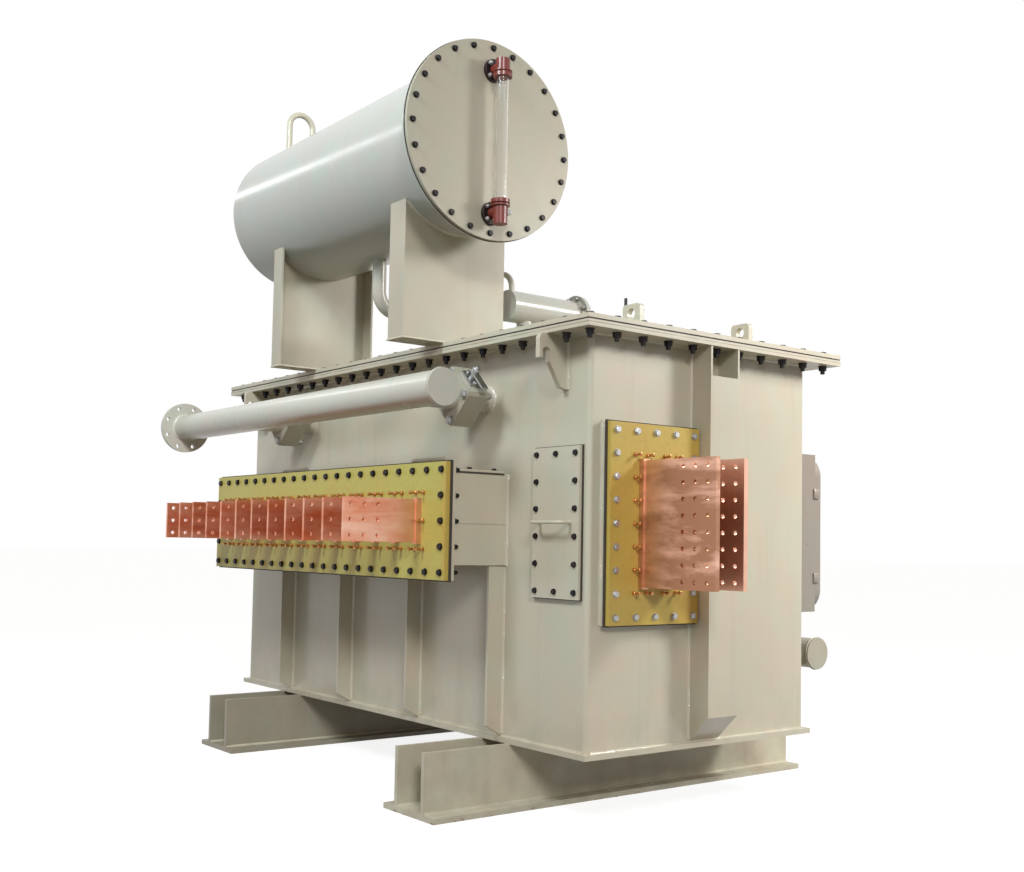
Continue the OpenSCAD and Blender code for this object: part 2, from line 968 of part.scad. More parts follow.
module front_busbar_collars() {
    color(COPPER)
        for (i = [0 : bar_count - 1])
            translate([bar_x(i), 0, terminal_z])
                along_y(board_face - collar_len, board_face)
                    ring_2d(bar_t + 2 * collar_w, bar_h + 2 * collar_w, bar_t, bar_h);
}

// End terminal
module end_terminal_flange() {
    color(STEEL)
        along_x(half_len, end_gasket_x)
            end_ring_2d();
}

module end_terminal_board() {
    color(BOARD)
        along_x(end_board_back, end_board_face)
            translate([-end_shift, terminal_z])
                difference() {
                    box_2d(end_board_w, end_board_h);
                    for (s = sides)
                        translate([s * end_bar_pitch / 2, 0])
                            box_2d(end_bar_t + 2 * slot_play, end_bar_h + 2 * slot_play);
                }
}

// An end bar is the front bar's pattern turned a quarter, so it is drilled along Y
module end_bar() {
    x_out = end_board_face + end_bar_reach;
    difference() {
        slab([end_board_face - end_bar_tail, -end_bar_t / 2, -end_bar_h / 2],
             [x_out, end_bar_t / 2, end_bar_h / 2]);
        rotate([0, 0, -90])
            bar_holes(x_out - end_bar_edge, -1, end_bar_rows, -end_bar_t / 2, end_bar_t / 2);
    }
}

module end_busbars() {
    color(COPPER)
        for (s = sides)
            translate([0, -end_shift + s * end_bar_pitch / 2, terminal_z])
                end_bar();
}

module end_busbar_collars() {
    color(COPPER)
        for (s = sides)
            translate([0, -end_shift + s * end_bar_pitch / 2, terminal_z])
                along_x(end_board_face, end_board_face + collar_len)
                    ring_2d(end_bar_t + 2 * collar_w, end_bar_h + 2 * collar_w, end_bar_t, end_bar_h);
}

// Inspection cover and handles
module inspection_cover() {
    color(STEEL)
        along_y(hatch_face, hatch_y)
            translate([hatch_x, terminal_z])
                box_2d(hatch_w, hatch_h);
}

// A bent rod standing on zero, with its two legs apart along X
module rod_handle(len) {
    foot = (len - handle_d) / 2;
    rod_top = handle_h - handle_d / 2;
    for (m = [0, 1])
        mirror([m, 0, 0]) {
            translate([foot, 0, 0])
                rod_z(handle_d, 0, rod_top - handle_r);
            translate([foot - handle_r, 0, rod_top - handle_r])
                bend_xz(handle_r, handle_d, 0);
        }
    translate([0, 0, rod_top])
        rod_x(handle_d, handle_r - foot, foot - handle_r);
}

module rod_handles() {
    color(STEEL) {
        for (s = sides)
            translate([duct_x + duct_handle_shift + s * duct_handle_span / 2, duct_front + duct_reach / 2,
                       duct_cover_z + duct_cover_t])
                rod_handle(duct_handle_len);
        translate([hatch_x, hatch_face, terminal_z])
            rotate([90, 0, 0])
                rod_handle(hatch_handle_len);
    }
}

// Oil headers
// A header drawn at zero with its necks towards +Y, from its flange to its cap
module header(x_cap) {
    x_flange = -header_flange_x;
    bore = header_d - 2 * header_t;
    difference() {
        union() {
            rod_x(header_d, x_flange, x_cap - cap_t);
            rod_x(cap_d, x_cap - cap_t, x_cap);
            rod_x(header_flange_d, x_flange, x_flange + header_flange_t);
            for (s = sides)
                translate([s * valve_span / 2, 0, 0])
                    rod_y(stub_d, 0, header_reach);
        }
        rod_x(bore, x_flange - cut, x_cap - cap_t);
        flange_holes_x(header_holes, header_pcd, header_hole_d, x_flange, x_flange + header_flange_t);
        for (s = sides)
            translate([s * valve_span / 2, 0, 0])
                rod_y(stub_bore, 0, header_reach + cut);
    }
}

module front_header_pipe() {
    color(STEEL)
        translate([0, -header_y, front_header_z])
            header(front_cap_x);
}

module back_header_pipe() {
    color(STEEL)
        mirror([0, 1, 0])
            translate([0, -header_y, back_header_z])
                header(back_cap_x);
}

// Places something made for the front wall's valves at all four valves
module at_valves() {
    for (s = sides) {
        translate([s * valve_span / 2, 0, front_header_z])
            children();
        mirror([0, 1, 0])
            translate([s * valve_span / 2, 0, back_header_z])
                children();
    }
}

module valve_stubs() {
    color(STEEL)
        at_valves()
            along_y(-valve_wall_side, -half_dep)
                difference() {
                    circle(d = stub_d);
                    circle(d = stub_bore);
                }
}

module butterfly_valves() {
    color(STEEL)
        at_valves()
            difference() {
                along_y(-valve_face, -valve_wall_side)
                    intersection() {
                        rotate(45)
                            box_2d(valve_side, valve_side);
                        box_2d(2 * valve_half, 2 * valve_half);
                    }
                rod_y(stub_bore, -valve_face - cut, -valve_wall_side + cut);
            }
}

// Gland plate, spindle and lever on a valve's upper right face
module valve_spindle() {
    face = valve_side / 2;
    lever_z = face + gland_t + spindle_h - lever_t;
    translate([0, -(valve_face + valve_wall_side) / 2, 0])
        rotate([0, 45, 0]) {
            slab([-gland_len / 2, -gland_w / 2, face], [gland_len / 2, gland_w / 2, face + gland_t]);
            rod_z(spindle_d, face + gland_t, face + gland_t + spindle_h);
            slab([-lever_w / 2, -lever_w / 2, lever_z], [lever_len - lever_w / 2, lever_w / 2, lever_z + lever_t]);
        }
}

module valve_spindles() {
    color(ZINC)
        at_valves()
            valve_spindle();
}

// Conservator
module at_conservator() {
    translate([0, -cons_y, cons_z])
        children();
}

module conservator_shell() {
    color(STEEL)
        at_conservator()
            difference() {
                union() {
                    rod_x(shell_d, shell_far_x, ring_x);
                    rod_x(end_plate_d, ring_x - shell_ring_t, ring_x);
                }
                rod_x(shell_d - 2 * shell_t, shell_far_x + far_disc_t, ring_x + cut);
                translate([-drop_x, 0, 0])
                    rod_z(drop_d - 2 * drop_t, -shell_d / 2 - cut, 0);
                translate([vent_riser_x, cons_y + vent_y, 0])
                    rod_z(vent_d, -shell_d / 2 - cut, -vent_end);
            }
}

module conservator_gasket() {
    color(RUBBER)
        at_conservator()
            difference() {
                rod_x(end_plate_d - 2 * gasket_inset, ring_x, ring_x + end_gasket_t);
                rod_x(shell_d - 2 * shell_t, ring_x - cut, ring_x + end_gasket_t + cut);
            }
}

module conservator_end_plate() {
    color(STEEL)
        at_conservator()
            rod_x(end_plate_d, cons_face_x - end_plate_t, cons_face_x);
}

// A support tray with its outer face at zero and its open side towards -X
module support(depth) {
    difference() {
        translate([0, -cons_y, 0]) {
            slab([-support_t, -support_w / 2, top_z], [0, support_w / 2, cons_z]);
            for (s = sides)
                translate([0, s * (support_w - support_t) / 2, 0])
                    slab([-depth, -support_t / 2, top_z], [0, support_t / 2, cons_z]);
            slab([-depth, -support_w / 2, top_z], [0, support_w / 2, top_z + support_t]);
        }
        at_conservator()
            rod_x(shell_d, -depth - cut, cut);
    }
}

module conservator_support_right() {
    color(STEEL)
        translate([support_near_x, 0, 0])
            support(near_depth);
}

module conservator_support_left() {
    color(STEEL)
        translate([-support_far_x, 0, 0])
            mirror([1, 0, 0])
                support(far_depth);
}

module conservator_lifting_hoop() {
    r = (hoop_w - hoop_d) / 2;
    arch_z = shell_d / 2 + hoop_h - hoop_d / 2 - r;
    color(STEEL)
        at_conservator()
            translate([shell_far_x + hoop_inset, 0, 0])
                difference() {
                    union() {
                        for (s = sides)
                            translate([0, s * r, 0])
                                rod_z(hoop_d, shell_d / 4, arch_z);
                        translate([0, 0, arch_z])
                            rotate([90, 0, 90])
                                rotate_extrude(angle = 180)
                                    translate([r, 0])
                                        circle(d = hoop_d);
                    }
                    rod_x(shell_d, -hoop_d, hoop_d);
                }
}

// The bends of the connecting pipe, made once with its outer and once with its inner diameter
module drop_run(d, over) {
    run_z = top_z + drop_run_rise;
    translate([0, -cons_y, 0])
        rod_z(d, run_z + drop_r, cons_z);
    translate([0, -cons_y + drop_r, run_z + drop_r])
        bend_yz(drop_r, d, 180);
    translate([0, 0, run_z])
        rod_y(d, -cons_y + drop_r, -drop_end_y - drop_r);
    translate([0, -drop_end_y - drop_r, run_z - drop_r])
        bend_yz(drop_r, d, 0);
    translate([0, -drop_end_y, 0])
        rod_z(d, top_z - over, run_z - drop_r);
}

module conservator_pipe() {
    color(STEEL)
        difference() {
            translate([-drop_x, 0, 0])
                difference() {
                    drop_run(drop_d, 0);
                    drop_run(drop_d - 2 * drop_t, cut);
                }
            at_conservator()
                rod_x(shell_d, -drop_x - drop_d, -drop_x + drop_d);
        }
}

// Oil gauge
// A fitting drawn from the glass's end upwards, ending tail beyond the arm
module gauge_fitting(tail) {
    rod_z(gauge_flange_d, 0, gauge_flange_t);
    rod_z(gauge_body_d, gauge_flange_t, gauge_arm_rise + tail);
    translate([0, 0, gauge_arm_rise]) {
        rod_x(gauge_arm_d, -gauge_off, 0);
        rod_x(gauge_disc_d, -gauge_off, -gauge_off + gauge_disc_t);
    }
}

module gauge_fittings() {
    color(OXIDE_RED)
        translate([gauge_x, -cons_y, gauge_z]) {
            translate([0, 0, glass_len / 2])
                gauge_fitting(gauge_cap_h);
            mirror([0, 0, 1])
                translate([0, 0, glass_len / 2])
                    gauge_fitting(gauge_drain_h);
        }
}

module gauge_glass() {
    color(CLEAR)
        translate([gauge_x, -cons_y, gauge_z])
            along_z(-glass_len / 2, glass_len / 2)
                difference() {
                    circle(d = glass_d);
                    circle(d = glass_d - 2 * glass_t);
                }
}

// Cover header and vent
function relief_feet_y() =
    let (mid = (relief_flange_y - relief_cap_y) / 2)
    [mid - relief_foot_span / 2, mid + relief_foot_span / 2];

module cover_header_pipe() {
    bore = relief_d - 2 * relief_t;
    flange_back = relief_flange_y - relief_flange_t;
    color(STEEL)
        translate([relief_x, 0, relief_z])
            difference() {
                union() {
                    rod_y(relief_d, -relief_cap_y, flange_back);
                    rod_y(relief_flange_d, flange_back, relief_flange_y);
                    for (y = relief_feet_y())
                        translate([0, y, 0])
                            rod_z(relief_foot_d, -relief_rise, 0);
                }
                rod_y(bore, -relief_cap_y + relief_t, flange_back);
                for (y = relief_feet_y())
                    translate([0, y, 0])
                        rod_z(relief_foot_d - 2 * relief_t, -relief_rise - cut, 0);
                rotate([0, 0, 90])
                    flange_holes_x(relief_holes, relief_pcd, relief_hole_d, flange_back, relief_flange_y);
            }
}

module vent_pipe() {
    run_z = top_z + vent_run_rise;
    color(STEEL)
        translate([0, vent_y, 0])
            difference() {
                union() {
                    translate([relief_x, 0, 0])
                        rod_z(vent_d, relief_z, run_z - vent_r);
                    translate([relief_x - vent_r, 0, run_z - vent_r])
                        bend_xz(vent_r, vent_d, 0);
                    translate([0, 0, run_z])
                        rod_x(vent_d, vent_riser_x + vent_r, relief_x - vent_r);
                    translate([vent_riser_x + vent_r, 0, run_z + vent_r])
                        bend_xz(vent_r, vent_d, 180);
                    translate([vent_riser_x, 0, 0])
                        rod_z(vent_d, run_z + vent_r, cons_z - vent_end);
                }
                translate([relief_x, 0, relief_z])
                    rod_y(relief_d, -vent_d, vent_d);
            }
}

// Control cabinet on the back wall
module at_cabinet() {
    translate([cab_x - cab_w / 2, 0, cab_low + cab_h / 2])
        children();
}

module control_cabinet() {
    color(STEEL)
        at_cabinet()
            difference() {
                along_y(half_dep, cab_front)
                    box_2d(cab_w, cab_h);
                along_y(half_dep + cab_t, cab_front - cab_t)
                    box_2d(cab_w - 2 * cab_t, cab_h - 2 * cab_t);
                along_y(cab_front - cab_t - cut, cab_front + cut)
                    rounded_2d(cab_w - 2 * cab_rim, cab_h - 2 * cab_rim, door_r - cab_rim / 2);
            }
}

module cabinet_door() {
    color(STEEL)
        at_cabinet()
            difference() {
                along_y(cab_front, cab_front + door_d)
                    rounded_2d(cab_w, cab_h, door_r);
                along_y(cab_front - cut, cab_front + door_d - cab_t)
                    rounded_2d(cab_w - 2 * cab_t, cab_h - 2 * cab_t, door_r - cab_t);
            }
}

skid_right();
skid_left();
tank_base_plate();
tank_front_wall();
tank_back_wall();
tank_right_end_wall();
tank_left_end_wall();
wall_stiffeners();
end_box_stiffeners();
tank_flange();
cover_gasket();
cover_plate();
tank_lifting_hooks();
cover_lifting_lugs();
terminal_duct();
duct_flange();
duct_top_cover();
board_gaskets();
small_cover_gaskets();
front_terminal_board();
front_busbars();
front_busbar_collars();
end_terminal_flange();
end_terminal_board();
end_busbars();
end_busbar_collars();
inspection_cover();
rod_handles();
front_header_pipe();
back_header_pipe();
valve_stubs();
butterfly_valves();
valve_spindles();
conservator_shell();
conservator_gasket();
conservator_end_plate();
conservator_support_right();
conservator_support_left();
conservator_lifting_hoop();
conservator_pipe();
gauge_fittings();
gauge_glass();
cover_header_pipe();
vent_pipe();
control_cabinet();
cabinet_door();
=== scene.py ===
import json
import math

import bpy
import numpy as np
from mathutils import Matrix, Vector


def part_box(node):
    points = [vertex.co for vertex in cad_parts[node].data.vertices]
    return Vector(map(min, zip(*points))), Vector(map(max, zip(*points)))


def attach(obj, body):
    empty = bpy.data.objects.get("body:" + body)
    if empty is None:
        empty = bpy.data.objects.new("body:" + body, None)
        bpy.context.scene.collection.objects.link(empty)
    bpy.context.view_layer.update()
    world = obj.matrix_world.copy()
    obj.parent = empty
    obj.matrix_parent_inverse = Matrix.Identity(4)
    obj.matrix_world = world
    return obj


bl_info = {
    "name": "Rectifier transformer dressing",
    "version": (1, 0, 0),
    "blender": (4, 5, 0),
    "location": "3D View > Sidebar > Transformer",
    "description": "Finishes, fasteners, weld beads and gasket edges for an oil-filled rectifier transformer",
    "category": "Object",
}

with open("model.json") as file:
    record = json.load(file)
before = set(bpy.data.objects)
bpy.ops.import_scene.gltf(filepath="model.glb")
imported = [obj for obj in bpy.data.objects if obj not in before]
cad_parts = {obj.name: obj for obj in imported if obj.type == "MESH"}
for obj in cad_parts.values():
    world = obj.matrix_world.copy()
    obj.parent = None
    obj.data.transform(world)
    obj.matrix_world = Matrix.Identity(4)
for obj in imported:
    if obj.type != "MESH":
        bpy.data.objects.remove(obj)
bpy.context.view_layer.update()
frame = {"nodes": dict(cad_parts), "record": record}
TAU = 2.0 * math.pi
AXES = np.eye(3)
X, Y, Z = AXES
# A height that no surface reaches
NOWHERE = -9.0
# Outer radius of the conservator's shell
SHELL_RADIUS = 0.293


# Sizes and colours that a user would change


def colour(name, description, default):
    """A colour setting."""
    return bpy.props.FloatVectorProperty(
        name=name, description=description, default=default, size=3, min=0.0, max=1.0, subtype="COLOR"
    )


def number(name, description, default, **kind):
    """A number setting from zero up; kind holds its subtype, unit and upper limit."""
    return bpy.props.FloatProperty(name=name, description=description, default=default, min=0.0, **kind)


def length(name, description, default):
    """A length setting in metres."""
    return number(name, description, default, precision=4, subtype="DISTANCE", unit="LENGTH")


def power(name, description, default):
    """A lamp's power setting in watts."""
    return number(name, description, default, subtype="POWER", unit="POWER")


def count(name, description, default):
    """A setting for the bolts in a row."""
    return bpy.props.IntProperty(name=name, description=description, default=default, min=2)


class TransformerFinishes(bpy.types.PropertyGroup):
    tank_paint: colour("Tank paint", "Satin paint of the tank and the supports", (0.560, 0.515, 0.405))
    pipe_paint: colour("Pipe paint", "Paint of the front header and the small pipes", (0.580, 0.560, 0.490))
    shell_paint: colour("Conservator paint", "Glossier paint of the conservator shell", (0.480, 0.482, 0.440))
    skid_paint: colour("Skid paint", "Dusty paint of the skids", (0.580, 0.530, 0.415))
    # The valves' dull paint, darkened partly as painted shade; the back header takes it as painted shade.
    valve_paint: colour("Valve paint", "Dull paint of the valves and the back header", (0.400, 0.375, 0.305))
    # The cabinet's paint is darkened below its own tone as painted shade.
    cabinet_paint: colour("Cabinet paint", "Paint of the control cabinet", (0.295, 0.258, 0.220))
    grime: colour("Grime", "Dust and oil film that darkens the paint", (0.200, 0.165, 0.105))
    rust: colour("Rust", "Rust that bleeds from welds and feet", (0.230, 0.075, 0.025))
    board: colour("Insulating board", "Laminate of the two terminal boards", (0.450, 0.410, 0.086))
    board_edge: colour("Board tint", "Amber tint of the laminate near its edges", (0.520, 0.300, 0.055))
    copper: colour("Copper", "Clean copper of the bars", (0.800, 0.475, 0.350))
    copper_tint: colour("Copper tint", "Red tarnish of the front bars", (0.690, 0.205, 0.095))
    # The brown also darkens the nearer end bar, partly as painted shade.
    copper_brown_and_shade: colour("Copper brown", "Brown tarnish of the end bars", (0.400, 0.200, 0.120))
    brass: colour("Brass", "Clamp studs and nuts", (0.540, 0.300, 0.130))
    black_oxide: colour("Black oxide", "Cover and board bolts", (0.022, 0.022, 0.025))
    zinc: colour("Zinc plate", "Valve and end board bolts", (0.470, 0.475, 0.480))
    oxide_red: colour("Oxide red", "Paint of the gauge fittings", (0.190, 0.030, 0.020))
    rubber: colour("Rubber", "Gaskets", (0.030, 0.021, 0.015))


class TransformerFasteners(bpy.types.PropertyGroup):
    cover_bolt: length("Cover bolt", "Thread of the cover bolts", 0.016)
    cover_edge: length("Cover bolt edge", "Cover bolts' distance from the flange edge", 0.045)
    cover_long: count("Bolts along the front", "Cover bolts in a long row", 23)
    cover_short: count("Bolts along the end", "Cover bolts in a short row", 11)
    board_bolt: length("Board bolt", "Thread of the terminal board bolts", 0.012)
    board_edge: length("Board bolt edge", "Board bolts' distance from the board's edge", 0.025)
    clamp_stud: length("Clamp stud", "Thread of the brass clamp studs", 0.008)
    end_bolt: length("End plate bolt", "Thread of the conservator's end bolts", 0.0113)
    end_ring: length("End plate bolt circle", "Bolt circle of the conservator's end plate", 0.6474)
    valve_bolt: length("Valve bolt", "Thread of the valve bolts", 0.016)
    valve_ring: length("Valve bolt circle", "Bolt circle of the valves", 0.160)
    relief_ring: length("Cover header bolt circle", "Bolt circle of the cover header's flange", 0.141)


class TransformerWelds(bpy.types.PropertyGroup):
    leg: length("Weld leg", "Leg of the fillet welds", 0.006)
    ripple: length("Ripple pitch", "Distance between the ripples of a weld bead", 0.009)
    unevenness: number("Unevenness", "How much the beads' size varies", 0.22, max=1.0, subtype="FACTOR")


class TransformerStage(bpy.types.PropertyGroup):
    floor_colour: colour("Floor", "Floor under the transformer", (0.230, 0.225, 0.215))
    glow: number("Floor glow", "What brings the seen floor up to white", 0.86)
    sun: number("Sun", "Strength of the soft key light", 1.4)
    sky: number("Sky", "Strength of the surrounding light", 0.36)
    end_panel: power("End panel", "Power of the panel that lights the end wall", 90.0)
    front_panel: power("Front panel", "Power of the panel that lights the front wall", 104.0)
    strip: power("Strip lamp", "Power of the lamp that draws a streak along the shell and headers", 20.0)


# Shapes as surfaces of two parameters


def grid_faces(rows, columns, looped=False):
    """Quads between the neighbouring points of a grid, numbered row by row. The last column joins the
    first, and looped joins the last row to the first too."""
    i = np.arange(rows if looped else rows - 1)[:, None]
    j = np.arange(columns)
    n, k = (i + 1) % rows, (j + 1) % columns
    quad = np.broadcast_arrays(i * columns + j, i * columns + k, n * columns + k, n * columns + j)
    return np.stack(quad, -1).reshape(-1, 4)


def capped(grid, poles):
    """A grid of points, rows by columns by three, whose first and last rows are closed by a fan from a
    pole."""
    rows, columns = grid.shape[:2]
    here = np.arange(columns)
    after = (here + 1) % columns
    last = (rows - 1) * columns
    pole = np.full(columns, rows * columns)
    low_fan = np.stack([pole, after, here], -1)
    high_fan = np.stack([pole + 1, last + here, last + after], -1)
    faces = [grid_faces(rows, columns), np.concatenate([low_fan, high_fan])]
    return np.concatenate([grid.reshape(-1, 3), poles]), faces


def turned(profile, sides=12):
    """A closed turned solid about +Z. A profile row holds radius, height and hexness: each ring is its
    radius times one plus hexness times (the hexagon's radius at that angle less one). The first and last
    rows are the poles."""
    rows = np.asarray(profile, float)
    ring = rows[1:-1]
    angle = TAU * np.arange(sides) / sides
    hexagon = math.cos(math.pi / 6) / np.cos(np.mod(angle, math.pi / 3) - math.pi / 6)
    radius = ring[:, :1] * (1.0 + ring[:, 2:] * (hexagon - 1.0))
    height = np.broadcast_to(ring[:, 1:2], radius.shape)
    grid = np.stack([radius * np.cos(angle), radius * np.sin(angle), height], -1)
    return capped(grid, np.outer(rows[[0, -1], 1], Z))


def ringed(profile, sides):
    """A closed ring about +Z: a closed profile of radius and height, anticlockwise with radius to the
    right, turned once round, so that point = (r cos a, r sin a, z)."""
    rows = np.asarray(profile, float)
    angle = TAU * np.arange(sides) / sides
    radius, height = rows[:, :1], np.broadcast_to(rows[:, 1:], (len(rows), sides))
    grid = np.stack([radius * np.cos(angle), radius * np.sin(angle), height], -1)
    return grid.reshape(-1, 3), [grid_faces(len(rows), sides, looped=True)]


def carried(path, across, up, profile, looped=False):
    """A profile carried along a path: point = path + across * profile u + up * profile v, with flat caps at
    both ends unless the path is looped. across and up are unit vectors, one for all or one for each path
    point; the profile is closed and runs anticlockwise seen from the end."""
    path = np.asarray(path, float)
    across, up = np.broadcast_to(across, path.shape), np.broadcast_to(up, path.shape)
    profile = np.broadcast_to(profile, (len(path),) + np.shape(profile)[-2:])
    grid = path[:, None] + across[:, None] * profile[..., :1] + up[:, None] * profile[..., 1:]
    if looped:
        return grid.reshape(-1, 3), [grid_faces(*grid.shape[:2], looped=True)]
    return capped(grid, grid[[0, -1]].mean(axis=1))


def placed(shape, points, axis, turns=0.0):
    """Copies of a shape at points, its +Z laid along axis and turned about it: vertex = point + x a + y b +
    z axis, with a and b the two unit vectors across the axis after the turn."""
    verts, faces = shape
    points = np.atleast_2d(points).astype(float)
    axis = np.broadcast_to(np.asarray(axis, float), points.shape)
    side = np.where(np.abs(axis[:, 2:]) > 0.9, X[None], Z[None])
    a = np.cross(side, axis)
    a /= np.linalg.norm(a, axis=1, keepdims=True)
    b = np.cross(axis, a)
    turns = np.broadcast_to(turns, (len(points),))[:, None]
    a, b = a * np.cos(turns) + b * np.sin(turns), b * np.cos(turns) - a * np.sin(turns)
    copies = np.einsum("vk,mkj->mvj", verts, np.stack([a, b, axis], 1)) + points[:, None]
    offset = (np.arange(len(points)) * len(verts))[:, None, None]
    return copies.reshape(-1, 3), [(block[None] + offset).reshape(-1, block.shape[1]) for block in faces]


def scattered(shape, points, axis, rng):
    """Copies of a fastener at points, each turned about its axis at random."""
    return placed(shape, points, axis, rng.uniform(0, TAU, len(points)))


def joined(shapes):
    """Several shapes as one list of vertices and faces."""
    starts = np.cumsum([0] + [len(verts) for verts, faces in shapes])
    verts = np.concatenate([verts for verts, faces in shapes])
    return verts, [block + start for (_, faces), start in zip(shapes, starts) for block in faces]


def in_threads(thread, rows):
    """A turned solid whose radii and heights are shares of its thread's diameter."""
    return turned(np.array(rows) * [thread, thread, 1.0])


def hex_bolt(thread):
    """Washer and hexagon head with a chamfered top."""
    return in_threads(thread, [
        [0, 0, 0], [0.98, 0, 0], [0.98, 0.16, 0], [0.87, 0.16, 1], [0.87, 0.656, 1],
        [0.7308, 0.78, 0], [0, 0.78, 0],
    ])


def hex_nut(thread, end):
    """Washer, nut and the thread's end, which stands out of the nut by end."""
    top, tip = 1.06, 1.06 + end / thread
    return in_threads(thread, [
        [0, 0, 0], [0.98, 0, 0], [0.98, 0.16, 0], [0.87, 0.16, 1], [0.87, top - 0.1, 1],
        [0.7308, top, 0], [0.5, top, 0], [0.5, 0.2 * top + 0.8 * tip, 0], [0.4, tip, 0], [0, tip, 0],
    ])


def clamp_stud(thread, reach):
    """A brass stud with a flanged base, a nut at the base, a nut at the end and a rounded tip."""
    tip = reach / thread
    return in_threads(thread, [
        [0, 0, 0], [1, 0, 0], [1, 0.16, 0], [0.9, 0.16, 1], [0.9, 0.95, 1], [0.72, 1.05, 0],
        [0.5, 1.05, 0], [0.5, tip - 1.15, 0], [0.81, tip - 1.1, 1], [0.81, tip - 0.35, 1],
        [0.5, tip - 0.25, 0], [0.45, tip, 0], [0, tip, 0],
    ])


def around(axis, steps):
    """Unit vectors that point outwards all round an axis, steps of them."""
    a = np.cross(X if abs(axis[2]) > 0.9 else Z, axis)
    angle = TAU * np.arange(steps)[:, None] / steps
    return a * np.cos(angle) + np.cross(axis, a) * np.sin(angle)


def rounded(width, height, radius, steps=3):
    """A rectangle's outline with rounded corners, anticlockwise: each corner's centre plus the radius at its
    angles."""
    angle = (np.linspace(0.0, math.pi / 2, steps + 1) + np.arange(4)[:, None] * math.pi / 2).ravel()
    centre = np.array([[1, 1], [-1, 1], [-1, -1], [1, -1]]) * (np.array([width, height]) / 2 - radius)
    return np.repeat(centre, steps + 1, axis=0) + radius * np.stack([np.cos(angle), np.sin(angle)], -1)


def frame_strip(low, high, axis, bottom, top, proud):
    """A mitred strip round a box's outline seen along an axis, from bottom to top on that axis: its
    section, proud of the outline and 3 mm inside it, is carried round the four corners, whose across
    vectors point outwards along both sides at once."""
    inside = 0.003
    u, v = np.delete(AXES, axis, 0)
    lean = np.array([[-1, -1], [1, -1], [1, 1], [-1, 1]])
    corner = np.where(lean < 0, np.delete(low, axis), np.delete(high, axis))
    section = np.array([[-inside, bottom], [proud, bottom], [proud, top], [-inside, top]])
    if np.cross(u, v) @ AXES[axis] > 0:
        section = section[::-1]
    return carried(corner @ [u, v], lean @ [u, v], AXES[axis], section, looped=True)


def rectangle_spots(low, high, across, up):
    """Bolt spots round a rectangle, with across of them along its top and bottom and up rows between those
    at each side."""
    a = np.linspace(low[0], high[0], across)
    b = np.linspace(low[1], high[1], up + 2)[1:-1]
    return np.concatenate([
        np.stack([np.tile(a, 2), np.repeat([low[1], high[1]], across)], -1),
        np.stack([np.repeat([low[0], high[0]], up), np.tile(b, 2)], -1),
    ])


def circle_spots(centre, diameter, bolts, start=0.0):
    """Bolt spots on a circle, clockwise from its top, the first of them start steps on."""
    angle = TAU * (np.arange(bolts) + start) / bolts
    return centre + np.stack([np.sin(angle), np.cos(angle)], -1) * diameter / 2


def on_plane(spots, axis, level):
    """Spots of two coordinates as points that share one level on an axis."""
    return np.insert(np.asarray(spots, float), axis, level, axis=1)


class Beads:
    """The fillet welds of an operator, which share their settings and random numbers."""

    def __init__(self, welds, seed):
        self.welds, self.rng, self.shapes = welds, np.random.default_rng(seed), []

    def on(self, path, first, second, looped=False):
        """A bead on a path in the corner between two faces that leave it along first and second. Its
        section is a bulged quarter round whose leg is the weld leg times a crest on every other step and a
        slow random part."""
        crest, root, knot = 0.12, 0.15, 8
        first, second = np.broadcast_to(first, path.shape), np.broadcast_to(second, path.shape)
        steps = np.arange(len(path))
        slow = np.interp(steps, steps[::knot], self.rng.uniform(-1, 1, len(steps[::knot])), period=len(path))
        uneven = 1.0 + self.welds.unevenness * slow
        size = self.welds.leg * (1.0 + crest * np.cos(math.pi * steps)) * uneven
        angle = np.linspace(0.0, math.pi / 2, 4)
        arc = np.stack([np.cos(angle), np.sin(angle)], -1) * np.array([1.0, 0.86, 0.86, 1.0])[:, None]
        section = np.concatenate([[[-root, -root]], arc])
        if np.cross(first[0], second[0]) @ (path[1] - path[0]) < 0:
            section = section[::-1]
        self.shapes.append(carried(path, first, second, section * size[:, None, None], looped))

    def run(self, start, end, first, second):
        """A straight bead from start to end."""
        start, end = np.asarray(start, float), np.asarray(end, float)
        steps = max(int(np.linalg.norm(end - start) / self.welds.ripple * 2), 3)
        self.on(start + (end - start) * np.linspace(0.0, 1.0, steps + 1)[:, None], first, second)

    def ring(self, centre, axis, radius):
        """A bead round a tube that stands on a face: its legs run outwards and along the axis."""
        out = around(axis, 2 * int(TAU * radius / self.welds.ripple))
        self.on(np.asarray(centre) + out * radius, out, axis, looped=True)

    def frame(self, low, high, axis, level, normal):
        """Four beads round a box's outline at a level on an axis: they lean against the outline's edges,
        and their other leg runs along the normal."""
        for lean in [k for k in (2, 1, 0) if k != axis]:
            for side, edge in ((-1, low), (1, high)):
                start, end = np.array(low, float), np.array(high, float)
                start[axis] = end[axis] = level
                start[lean] = end[lean] = edge[lean]
                self.run(start, end, side * AXES[lean], normal)

    def piece(self, name, finish):
        """The beads so far as one piece."""
        add_piece(name, finish, joined(self.shapes))
        self.shapes = []


# Variants of a finish that belong to one of the record's material slots
SLOT_OF = dict.fromkeys(("support_paint", "skid_paint", "cabinet_paint", "valve_paint"), "tank_paint")


